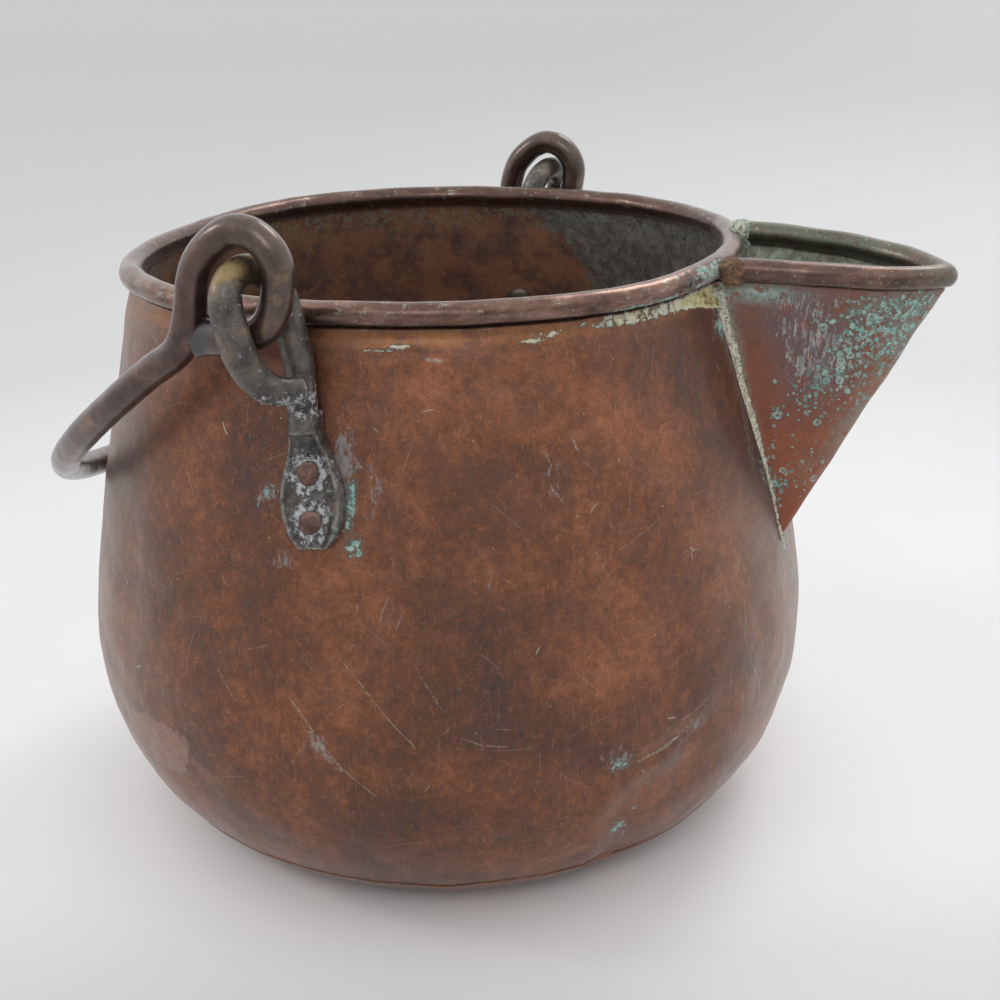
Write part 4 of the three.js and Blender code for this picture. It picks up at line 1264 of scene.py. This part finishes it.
def strokes(look, size, length, width, share, shift):
    """Short crisp scratches in random directions, one at most in a cell: 0 to 1."""
    moved = look.vector("ADD", look.place, (shift, 0.7 * shift, 0.3 * shift))
    cell = look.cells(size, place=moved)
    away = look.vector("SUBTRACT", moved, cell["Position"])
    round_pot = look.vector("NORMALIZE", look.vector("CROSS_PRODUCT", (0, 0, 1), look.place))
    side = look.vector("DOT_PRODUCT", away, round_pot)
    rise = look.vector("DOT_PRODUCT", away, (0, 0, 1))
    parts = look.parts(cell["Color"])
    turn = look.times(parts[0], math.pi)
    cosine, sine = look.math("COSINE", turn), look.math("SINE", turn)
    along = look.plus(look.times(side, cosine), look.times(rise, sine))
    across = look.minus(look.times(rise, cosine), look.times(side, sine))
    bend = look.times(along, along, look.minus(parts[2], 0.5), 0.35 / length)
    across = look.math("ABSOLUTE", look.plus(across, bend))
    reach = look.times(look.plus(parts[2], 0.25), length)
    line = look.times(look.step(look.math("ABSOLUTE", along), reach, look.times(reach, 0.5)),
                      look.step(across, width, width * 0.3))
    chosen = look.step(parts[1], 1 - share, 1.001 - share)
    return look.times(line, chosen)


def rub_marks(look, size, low, high):
    """Fine upright and slanted scratches, from 0 to 1."""
    upright = look.noise(size, 4, 0.75, 0.3, place=look.stretch((1, 1, 0.05)), shift=17)
    leaning = look.stretch((1, 1, 0.06), (0.6, 0.5, 0.3))
    slanted = look.noise(size, 3, 0.75, 0.2, place=leaning, shift=19)
    return look.most(look.step(upright, low, high), look.step(slanted, low + 0.02, high + 0.02))


def flecks(look, size, share):
    """Small scattered pale chips."""
    cell = look.cells(size)
    near = look.step(cell["Distance"], 0.11, 0.03)
    parts = look.parts(cell["Color"])
    chosen = look.step(parts[0], 1 - share, 1 - share * 0.8)
    return look.times(near, chosen)


def wall_copper(name, shift):
    """Wall and base: patina, scratches, verdigris, crust under the rim, rolled rim, inside; painted
    sheen at the sides, painted light on the upper front, painted shade on the roll's inner half.
    """
    look = Look(name)
    inside, roll = look.mask("inside"), look.mask("roll")
    # The warm mask reddens and lightens the tone, partly as painted light on the upper front
    warmth = look.minus(look.times(look.mask("warm"), 0.058), look.times(look.mask("dark"), 0.055))
    tone = copper_tone(look, shift, warmth)
    pale_edges = look.mask("pale_edges")
    marks = rub_marks(look, 1.0, 0.58, 0.66)
    # Pale scratches everywhere, stronger at the wall's sides, where they add to the painted sheen
    marks = look.times(marks, look.plus(0.11, look.times(pale_edges, 0.36)))
    # Painted sheen with some dust: pale grey over the wall's left and right sides
    tone = look.paint(tone, (0.32, 0.25, 0.21), pale_edges, 0.42)
    tone = look.paint(tone, (0.58, 0.50, 0.43), marks)
    pits = look.patches(0.635, 0.68, 1.4, 5, 0.75, shift=29)
    tone = look.paint(tone, (0.055, 0.035, 0.030), pits, 0.65)
    tone = look.paint(tone, (0.66, 0.60, 0.47), flecks(look, 3.6, 0.10), 0.8)
    patchy = look.patches(0.42, 0.62, 34, 3, 0.6, shift=25)
    chips = look.times(strokes(look, 13, 2.6, 0.34, 0.10, 5), patchy)
    tone = look.paint(tone, (0.58, 0.55, 0.42), chips, 0.75)
    tone = look.paint(tone, (0.55, 0.46, 0.40), strokes(look, 21, 10.0, 0.17, 0.36, 40), 0.26)
    sparks = look.times(strokes(look, 7, 2.4, 0.17, 0.2, 70), look.minus(1.15, patchy))
    tone = look.paint(tone, (0.55, 0.22, 0.11), sparks, 0.55)
    fresh = look.times(look.patches(0.66, 0.69, 2.4, 6, 0.75, 0.8, shift=33), 0.75)
    tone = look.paint(tone, (0.50, 0.20, 0.10), fresh)

    ragged = look.times(look.minus(look.noise(9, 6, 0.65, shift=31), 0.5), 0.9)
    bare = look.step(look.plus(look.mask("bare"), ragged), 0.5, 0.53)
    bare_tone = look.ramp(look.noise(5, 6, 0.7, shift=35), [
        (0.35, (0.25, 0.145, 0.112)), (0.6, (0.36, 0.215, 0.172))])
    tone = look.paint(tone, bare_tone, bare, 0.72)

    gold = look.times(look.mask("gold"), look.patches(0.36, 0.56, 8, 6, 0.65, 0.8, shift=37))
    tone = look.paint(tone, (0.33, 0.150, 0.052), gold, 0.6)

    green = look.mask("green")
    green_noise = look.noise(2.6, 8, 0.76, 0.8, shift=41)
    green_edge = look.plus(look.times(green, 0.30), green_noise)
    greened = look.step(green_edge, 0.70, 0.76)
    wash = look.step(look.plus(green, look.times(green_noise, 0.5)), 0.55, 1.25)
    tone = look.paint(tone, (0.20, 0.22, 0.19), wash, 0.4)
    streaky = look.noise(1.5, 7, 0.76, 0.3, place=look.stretch((1, 1, 0.3)), shift=43)
    haze = look.step(look.plus(streaky, look.times(look.mask("haze"), 0.17)), 0.60, 0.70)
    haze = look.times(haze, look.step(look.mask("haze"), 0.05, 0.5))
    tone = look.paint(tone, (0.35, 0.43, 0.46), haze, 0.5)
    patina = look.ramp(look.noise(1.8, 4, 0.6, shift=47), [(0.35, TURQUOISE), (0.6, PALE_GREEN)])
    tone = look.paint(tone, patina, greened, 0.85)

    crust = look.mask("crust")
    crust_edge = look.plus(look.times(crust, 0.5), look.noise(3, 7, 0.74, 0.6, shift=53))
    crusted = look.step(crust_edge, 0.74, 0.82)
    crust_layer = look.varied(look.times(crust, 0.42), 0.9, 2.4, 8, 0.74, 0.3, shift=59)
    crust_tone = look.ramp(crust_layer, [
        (0.50, TURQUOISE), (0.58, PALE_GREEN), (0.68, (0.72, 0.71, 0.60)), (0.84, (0.60, 0.56, 0.28)),
        (0.92, (0.36, 0.26, 0.08)), (0.97, (0.05, 0.038, 0.028))])
    tone = look.paint(tone, crust_tone, crusted, 0.92)

    wander = look.times(look.minus(look.noise(3, 3, 0.6, shift=21), 0.5), 0.8)
    away = look.math("ABSOLUTE", look.plus(look.mask("scratch_side"), wander))
    width = look.mask("scratch_width")
    lines = look.step(away, look.times(width, 1.4), look.times(width, 0.4))
    lines = look.times(lines, look.mask("scratch_gate"),
                       look.patches(0.42, 0.54, 1.5, 5, 0.75, shift=23))
    tone = look.paint(tone, (0.46, 0.43, 0.37), lines, 0.75)

    roll_tone = look.ramp(look.noise(8, 7, 0.7, 0.5, place=look.stretch((0.6, 0.6, 2.0)), shift=61), [
        (0.36, (0.092, 0.052, 0.041)), (0.5, (0.175, 0.100, 0.078)), (0.64, (0.29, 0.175, 0.135))])
    # On the roll, the dark mask is painted shade on the roll's inner half
    roll_tone = look.paint(roll_tone, (0.075, 0.045, 0.035), look.mask("dark"), 0.6)
    dashes = look.noise(2.0, 8, 0.80, place=look.stretch((0.5, 0.5, 1)), shift=67)
    roll_tone = look.paint(roll_tone, (0.42, 0.45, 0.39), look.step(dashes, 0.555, 0.61), 0.58)
    roll_tone = look.paint(roll_tone, patina, crusted, look.step(dashes, 0.46, 0.54), 0.85)
    tone = look.paint(tone, roll_tone, roll)
    tone = look.paint(tone, inner_tone(look), inside)

    matte = look.most(crusted, greened)
    metal = look.times(look.minus(1.0, matte), look.minus(0.88, look.times(inside, 0.35)))
    roughness = look.varied(0.33, 0.24, 9, 7, 0.68, shift=71)
    roughness = look.plus(roughness, look.times(matte, 0.35))
    roughness = look.minus(roughness, look.times(roll, 0.18))
    roughness = look.plus(roughness, look.times(inside, 0.12), clamp=True)
    planished = look.cells(13, "SMOOTH_F1")["Distance"]
    normal = look.bump(planished, 0.5)
    height = look.times(look.noise(2.4, 6, 0.66, shift=73), 0.7)
    height = look.varied(height, 0.25, 0.7, 3, 0.65, shift=79)
    height = look.minus(height, look.times(look.plus(pits, lines), 0.35))
    normal = look.bump(height, 0.13, normal)
    crumbly = look.times(crusted, look.plus(0.4, look.noise(1.2, 5, 0.75, shift=83)))
    chips = look.plus(look.times(greened, 0.5), crumbly)
    normal = look.bump(chips, 0.55, normal)
    return look.finish(tone, metal, roughness, normal, 0.16, 0.1)


def inner_tone(look):
    """Inside of the pot: purple brown and orange clouds, and a sharp-edged grey-green patch."""
    tone = look.ramp(look.noise(17, 9, 0.74, 0.3, shift=101), [
        (0.38, (0.150, 0.090, 0.086)), (0.46, (0.235, 0.132, 0.092)), (0.53, (0.36, 0.186, 0.105)),
        (0.64, (0.29, 0.168, 0.115))])
    x, y, z = look.axes()
    uneven = look.times(look.minus(look.noise(16, 8, 0.66, 0.6, shift=103), 0.5), 60.0)
    edge = look.plus(x, uneven)
    limit = look.plus(16.0, look.times(look.minus(214.0, z), 0.8))
    patch = look.step(look.minus(edge, limit), -0.8, 0.8)
    patch = look.times(patch, look.step(look.plus(y, uneven), 20, 24))
    patch_tone = look.ramp(look.noise(6, 9, 0.76, 0.8, shift=107), [
        (0.38, (0.085, 0.088, 0.085)), (0.5, (0.17, 0.17, 0.155)), (0.62, (0.30, 0.31, 0.27))])
    tone = look.paint(tone, patch_tone, patch, 0.92)
    under = look.step(z, 213, 226)
    scum = look.times(under, look.patches(0.48, 0.57, 2.6, 8, 0.80, shift=109))
    tone = look.paint(tone, (0.32, 0.41, 0.35), scum, 0.7)
    grain = look.varied(0.65, 0.7, 1.2, 5, 0.72, shift=111)
    return look.shade(tone, grain)


def spout_copper():
    """Spout: redder patina, ring-shaped verdigris, white streaks, mossy rolled edge."""
    look = Look("spout_copper")
    inside, roll, seam = look.mask("inside"), look.mask("roll"), look.mask("seam")
    tone = copper_tone(look, 200, 0.01)
    tone = look.paint(tone, (0.40, 0.110, 0.055), 0.42)
    purple = look.times(look.mask("purple"), look.patches(0.38, 0.48, 7, 8, 0.72, shift=202))
    tone = look.paint(tone, (0.165, 0.118, 0.116), purple, 0.85)
    dark = look.patches(0.54, 0.62, 4.5, 8, 0.76, 0.4, shift=204)
    tone = look.paint(tone, (0.085, 0.050, 0.045), dark, 0.28)
    haze = look.times(look.mask("haze"), look.patches(0.42, 0.54, 5, 8, 0.75, shift=203))
    tone = look.paint(tone, (0.24, 0.27, 0.23), haze, 0.7)
    streaky = look.noise(1.3, 7, 0.78, 0.4, place=look.stretch((1, 1, 0.22)), shift=207)
    white = look.step(look.plus(streaky, look.times(look.mask("white"), 0.13)), 0.62, 0.70)
    white = look.times(white, look.step(look.mask("white"), 0.08, 0.35))
    tone = look.paint(tone, (0.52, 0.52, 0.53), white, 0.68)

    green = look.mask("green")
    crumbs = look.noise(2.0, 8, 0.80, 0.5, shift=211)
    small = look.cells(1.9)
    big = look.cells(3.6)
    rings = look.most(ring_spots(look, small, crumbs, green), ring_spots(look, big, crumbs, green))
    crumbed = look.step(look.plus(crumbs, look.times(green, 0.16)), 0.66, 0.70)
    rings = look.most(rings, look.times(crumbed, look.step(green, 0.1, 0.5)))
    patina = look.ramp(look.noise(2.2, 4, 0.6, shift=47), [(0.38, TURQUOISE), (0.6, PALE_GREEN)])
    tone = look.paint(tone, patina, rings, 0.88)
    edge_green = look.times(seam, look.patches(0.41, 0.51, 2.0, 7, 0.76, shift=213))
    tone = look.paint(tone, patina, edge_green, 0.8)

    roll_tone = look.ramp(look.noise(7, 7, 0.7, 0.5, place=look.stretch((0.6, 0.6, 2.0)), shift=217), [
        (0.36, (0.070, 0.043, 0.035)), (0.5, (0.125, 0.071, 0.055)), (0.64, (0.20, 0.118, 0.090))])
    roll_specks = look.patches(0.56, 0.64, 1.5, 7, 0.78, shift=219)
    x, y, _ = look.axes()
    moss = look.most(look.step(y, 0, 14), look.times(look.step(x, 176, 196), 0.6))
    mossy = look.times(moss, look.patches(0.36, 0.52, 3, 8, 0.75, shift=221))
    roll_tone = look.paint(roll_tone, (0.120, 0.150, 0.105), mossy, 0.75)
    roll_tone = look.paint(roll_tone, (0.40, 0.46, 0.39), roll_specks, 0.65)
    tone = look.paint(tone, roll_tone, roll)
    inner = look.ramp(look.noise(6, 8, 0.76, 0.8, shift=223), [
        (0.38, (0.085, 0.085, 0.062)), (0.5, (0.19, 0.20, 0.145)), (0.60, (0.33, 0.39, 0.31))])
    tone = look.paint(tone, inner, inside)

    matte = look.most(rings, edge_green, look.times(inside, 0.5), look.times(white, 0.6))
    metal = look.times(look.minus(1.0, matte), 0.85)
    roughness = look.varied(0.34, 0.22, 10, 6, 0.66, shift=227)
    roughness = look.minus(roughness, look.times(roll, 0.12))
    roughness = look.plus(roughness, look.times(matte, 0.3), clamp=True)
    height = look.plus(look.times(look.noise(2.0, 6, 0.7, shift=229), 0.7), look.times(white, 0.3))
    normal = look.bump(height, 0.14)
    normal = look.bump(rings, 0.28, normal)
    return look.finish(tone, metal, roughness, normal, 0.25, 0.2)


def ring_spots(look, cells, crumbs, amount):
    """Verdigris spots, most of them rings, in a share of the cells that grows with amount."""
    away = look.plus(cells["Distance"], look.times(look.minus(crumbs, 0.5), 0.9))
    parts = look.parts(cells["Color"])
    size = look.plus(0.14, look.times(parts[0], 0.30))
    chosen = look.step(look.plus(parts[1], look.times(amount, 0.85)), 0.98, 1.04)
    spot_share = look.times(look.step(away, look.plus(size, 0.07), size), chosen)
    hollow = look.step(away, look.times(size, 0.75), look.times(size, 0.35))
    return look.times(spot_share, look.minus(1.0, look.times(hollow, 0.75)))


def solder_look():
    """Pale porous solder, rusty at the front root and green at the back one."""
    look = Look("solder")
    tone = look.ramp(look.noise(2.0, 8, 0.78, shift=301), [
        (0.32, (0.30, 0.27, 0.20)), (0.41, (0.58, 0.54, 0.41)), (0.52, (0.74, 0.71, 0.57)),
        (0.68, (0.82, 0.80, 0.71))])
    tint = look.patches(0.50, 0.58, 7, 8, 0.75, shift=307)
    tone = look.paint(tone, (0.42, 0.50, 0.47), tint, 0.35)
    rusty = look.plus(look.mask("rust"), look.times(look.noise(3, 6, 0.7, shift=309), 0.4))
    rust = look.step(rusty, 0.40, 0.62)
    rust_tone = look.ramp(look.noise(3, 7, 0.75, shift=315), [
        (0.42, (0.075, 0.042, 0.026)), (0.52, (0.20, 0.092, 0.042)), (0.62, (0.33, 0.175, 0.085))])
    tone = look.paint(tone, rust_tone, rust, 0.96)
    green = look.times(look.mask("green"), look.patches(0.38, 0.5, 3, 7, 0.75, shift=310))
    tone = look.paint(tone, (0.30, 0.46, 0.38), green, 0.8)
    streaks = look.patches(0.50, 0.60, 1.6, 6, 0.76, place=look.stretch((1, 1, 0.14)), shift=317)
    tone = look.paint(tone, (0.24, 0.19, 0.14), streaks, 0.4)
    pits = look.patches(0.53, 0.58, 1.0, 6, 0.80, shift=311)
    tone = look.paint(tone, (0.09, 0.075, 0.055), pits, 0.8)
    height = look.minus(look.noise(1.0, 6, 0.75, shift=313), look.times(pits, 0.5))
    return look.finish(tone, 0.05, 0.8, look.bump(height, 0.45))


def ear_bronze():
    """Dark bronze, with white bloom round the rivets, a yellow top, pale rubbed edges and painted
    shade in its hollows.
    """
    look = Look("ear_bronze")
    tone = look.ramp(look.noise(9, 7, 0.66, 0.5, shift=401), [
        (0.36, (0.046, 0.041, 0.039)), (0.46, (0.080, 0.072, 0.066)), (0.56, (0.136, 0.120, 0.102)),
        (0.68, (0.25, 0.18, 0.125))])
    height = look.axes()[2]
    plate = look.step(height, 202, 190)
    tail = look.times(look.step(height, 198, 204), look.step(height, 216, 209))
    rings = look.most(*[
        look.step(look.vector("DISTANCE", look.place, rivet_place(angle, side)), 13.0, 4.5)
        for angle in (FRONT_ANGLE, BACK_ANGLE) for side in (1, -1)])
    bloomy = look.plus(look.times(rings, 0.13), look.times(tail, 0.09))
    bloom = look.step(look.plus(look.noise(2.2, 8, 0.80, 0.2, shift=403), bloomy), 0.57, 0.64)
    tone = look.paint(tone, (0.60, 0.61, 0.63), bloom, 0.8)
    gold = look.times(look.step(height, 244, 253), look.patches(0.40, 0.54, 7, 6, 0.7, shift=407))
    tone = look.paint(tone, (0.36, 0.25, 0.09), gold, 0.7)
    edges = look.add("ShaderNodeNewGeometry").outputs["Pointiness"]
    pale_edges = look.patches(0.42, 0.56, 2.5, 7, 0.78, shift=419)
    tone = look.paint(tone, (0.44, 0.43, 0.39), look.step(edges, 0.505, 0.53), pale_edges, 0.5)
    # Painted shade: near black in the forging's hollows and grooves, found by pointiness
    tone = look.paint(tone, (0.035, 0.030, 0.026), look.step(edges, 0.495, 0.47), 0.7)
    green = look.times(plate, look.patches(0.58, 0.63, 3.2, 8, 0.78, shift=409))
    tone = look.paint(tone, (0.34, 0.50, 0.46), green, 0.6)
    grain = look.varied(0.66, 0.68, 0.8, 5, 0.74, shift=411)
    tone = look.shade(tone, grain)
    roughness = look.varied(0.29, 0.26, 4, 6, 0.7, shift=413)
    dull = look.most(bloom, look.times(plate, 0.5))
    roughness = look.plus(roughness, look.times(dull, 0.3), clamp=True)
    metal = look.times(look.minus(1.0, look.times(bloom, 0.7)), 0.85)
    surface = look.plus(look.noise(1.4, 6, 0.72, shift=417), look.times(bloom, 0.5))
    return look.finish(tone, metal, roughness, look.bump(surface, 0.3), 0.35)


def rivet_copper():
    """Brown rivet heads, grey-green inside the pot."""
    look = Look("rivet_copper")
    tone = look.ramp(look.noise(4, 6, 0.65, shift=501), [
        (0.34, (0.075, 0.045, 0.038)), (0.5, (0.145, 0.082, 0.070)), (0.66, (0.26, 0.15, 0.125))])
    bloom = look.patches(0.58, 0.70, 1.8, 5, 0.7, shift=503)
    tone = look.paint(tone, (0.33, 0.36, 0.34), bloom, 0.5)
    tone = look.paint(tone, (0.17, 0.18, 0.155), look.mask("inside"), 0.7)
    height = look.noise(1.2, 5, 0.65, shift=507)
    return look.finish(tone, 0.8, 0.48, look.bump(height, 0.2))


def bail_look():
    """Purple-brown rod, with rust where it hangs and dark grey-blue chiselled ends, partly painted
    shade beneath the eyes.
    """
    look = Look("bail_rod")
    tone = look.ramp(look.noise(13, 8, 0.7, 0.8, shift=601), [
        (0.36, (0.055, 0.034, 0.029)), (0.48, (0.090, 0.053, 0.044)), (0.60, (0.145, 0.086, 0.070)),
        (0.70, (0.24, 0.145, 0.112))])
    end = look.mask("end")
    tone = look.paint(tone, (0.118, 0.104, 0.086), end, 0.32)
    rust = look.times(end, look.patches(0.53, 0.62, 5, 7, 0.72, shift=603))
    tone = look.paint(tone, (0.26, 0.160, 0.070), rust, 0.45)
    # Dark grey-blue ends: partly the bare chiselled metal, partly painted shade beneath the eyes
    tone = look.paint(tone, (0.075, 0.085, 0.088), look.mask("cut_end_and_shade"), 0.8)
    specks = look.patches(0.62, 0.70, 1.1, 5, 0.78, shift=607)
    tone = look.paint(tone, (0.40, 0.34, 0.29), specks, 0.4)
    grain = look.varied(0.74, 0.52, 0.7, 4, 0.72, shift=609)
    tone = look.shade(tone, grain)
    roughness = look.varied(0.18, 0.26, 6, 6, 0.7, shift=611)
    height = look.plus(look.noise(2.2, 6, 0.7, shift=613), look.times(specks, 0.3))
    return look.finish(tone, 0.85, roughness, look.bump(height, 0.12), 0.6)


def wire_iron():
    """The wires in the two rolls."""
    look = Look("wire_iron")
    tone = look.ramp(look.noise(5, 5, 0.6, shift=701), [
        (0.4, (0.05, 0.045, 0.04)), (0.65, (0.12, 0.09, 0.07))])
    return look.finish(tone, 0.8, 0.6, look.bump(look.noise(1.2, 4, 0.6, shift=703), 0.1))


def floor_look():
    """Pale floor with painted light and shade: a painted pool of light round the pot that fades
    further away, painted shade to the left and a painted shadow close in front of the pot.
    """
    look = Look("floor")
    away = look.vector("LENGTH", look.place)
    # Painted light: brightest round the pot's foot, fading to an even tone further away
    tone = look.ramp(look.span(away, 120, 2400), [
        (0.0, (0.93, 0.93, 0.935)), (0.07, (0.77, 0.775, 0.785)), (0.28, (0.60, 0.604, 0.612)),
        (0.8, (0.592, 0.598, 0.597)), (1.0, (0.60, 0.606, 0.604))])
    across = look.vector("DOT_PRODUCT", look.place, (1, 0, 0))
    nearer = look.vector("DOT_PRODUCT", look.place, FRONT)
    grain = look.varied(0.87, 0.03, 60, 4, 0.6, shift=801)
    # Painted shade: the floor gets darker towards the left
    grain = look.plus(look.times(look.span(across, -900, 500), 0.13), grain)
    # Painted shadow: darker close in front of the pot
    close = look.step(away, 900, 350)
    grain = look.minus(grain, look.times(look.step(nearer, 80, 240), close, 0.26))
    return look.finish(look.shade(tone, grain), 0.0, 0.7)


# Stage

def floor():
    """A wide plain floor just under the foot."""
    half, level = 30.0, -0.0002
    mesh = bpy.data.meshes.new("floor")
    mesh.from_pydata([(-half, -half, level), (half, -half, level), (half, half, level),
                      (-half, half, level)], [], [(0, 1, 2, 3)])
    mesh.materials.append(floor_look())
    add_object("floor", mesh)


def lamp(name, place, target, size, power):
    """A round soft lamp: size in metres, power in watts."""
    light = bpy.data.lights.new(name, "AREA")
    light.shape = "DISK"
    light.size = size
    light.energy = power
    thing = add_object(name, light)
    thing.location = place
    thing.rotation_mode = "QUATERNION"
    thing.rotation_quaternion = (Vector(target) - Vector(place)).to_track_quat("-Z", "Y")


# Studio light: brightness all round, extra brightness overhead, and shade low in front
ALL_ROUND_LIGHT, TOP_LIGHT, FRONT_SHADE = 0.97, 0.10, 0.5


def light_scene():
    """A white tent that is darker low in front, with three soft lamps."""
    world = bpy.data.worlds.new("studio")
    bpy.context.scene.world = world
    world.use_nodes = True
    tent = Nodes(world.node_tree)
    place = tent.add("ShaderNodeTexCoord").outputs["Generated"]
    high = tent.step(tent.vector("DOT_PRODUCT", place, (0, 0, 1)), 0.2, 0.75)
    front = tent.step(tent.vector("DOT_PRODUCT", place, FRONT), 0.1, 0.95)
    shade = tent.times(front, tent.minus(1.0, high), FRONT_SHADE)
    bright = tent.plus(tent.times(high, TOP_LIGHT), ALL_ROUND_LIGHT)
    strength = tent.times(bright, tent.minus(1.0, shade))
    sky = tent.made("ShaderNodeBackground", 0, {"Color": (1.0, 1.0, 1.0), "Strength": strength})
    tent.join(sky, tent.add("ShaderNodeOutputWorld").inputs["Surface"])
    lamp("key", (0.6, 1.4, 1.9), (0, 0, 0.1), 0.9, 10)
    lamp("front", (0.3, -1.6, 1.5), (0, 0, 0.12), 0.6, 3)
    lamp("left", (-1.7, -0.5, 1.2), (0, 0, 0.2), 0.4, 4.5)


# Camera, from the fit of the pot's rim and outline to the photo
CAMERA = {
    "azimuth": 18.586, "elevation": 21.044, "distance": 629.935, "aim_height": 118.6,
    "yaw": 2.018, "pitch": 0.282, "roll": -2.048, "lens": 52.67,
}


def turned(a, b, turn):
    """Direction a turned towards b, and b turned with it."""
    return math.cos(turn) * a + math.sin(turn) * b, math.cos(turn) * b - math.sin(turn) * a


def camera():
    """The photo's viewpoint."""
    az, el, yaw, pitch, roll = (math.radians(CAMERA[k]) for k in (
        "azimuth", "elevation", "yaw", "pitch", "roll"))
    back = np.array([math.sin(az) * math.cos(el), -math.cos(az) * math.cos(el), math.sin(el)])
    place = np.array([0, 0, CAMERA["aim_height"]]) + back * CAMERA["distance"]
    forward = -back
    right = np.array([math.cos(az), math.sin(az), 0.0])
    above = np.cross(right, forward)
    forward, right = turned(forward, right, yaw)
    forward, above = turned(forward, above, pitch)
    right, above = turned(right, above, roll)
    lens = bpy.data.cameras.new("camera")
    lens.lens = CAMERA["lens"]
    lens.sensor_width = 36
    lens.clip_start, lens.clip_end = 0.01, 100
    thing = add_object("camera", lens)
    axes = Matrix([[right[i], above[i], -forward[i]] for i in range(3)]).to_4x4()
    thing.matrix_world = Matrix.Translation(Vector(place) * MM) @ axes
    bpy.context.scene.camera = thing


wall = wall_copper("wall_copper", 0)
pot_wall(wall)
base_pan(wall_copper("base_copper", 0))
spout(spout_copper())
solder(solder_look())
bronze = ear_bronze()
ear("front_ear_forging", "front_ear", FRONT_ANGLE, FRONT_ARCH, bronze)
ear("back_ear_forging", "back_ear", BACK_ANGLE, BACK_ARCH, bronze)
copper_rivet = rivet_copper()
for where, angle in (("front", FRONT_ANGLE), ("back", BACK_ANGLE)):
    for level, side in (("upper", 1), ("lower", -1)):
        rivet(f"{where}_{level}_rivet_head", f"{where}_{level}_rivet", angle, side, copper_rivet)
bail(bail_look())
iron = wire_iron()
for node in ("rim_wire", "spout_rim_wire"):
    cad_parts[node].data.materials.clear()
    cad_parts[node].data.materials.append(iron)

floor()
light_scene()
camera()
bpy.context.scene.view_settings.view_transform = "Standard"
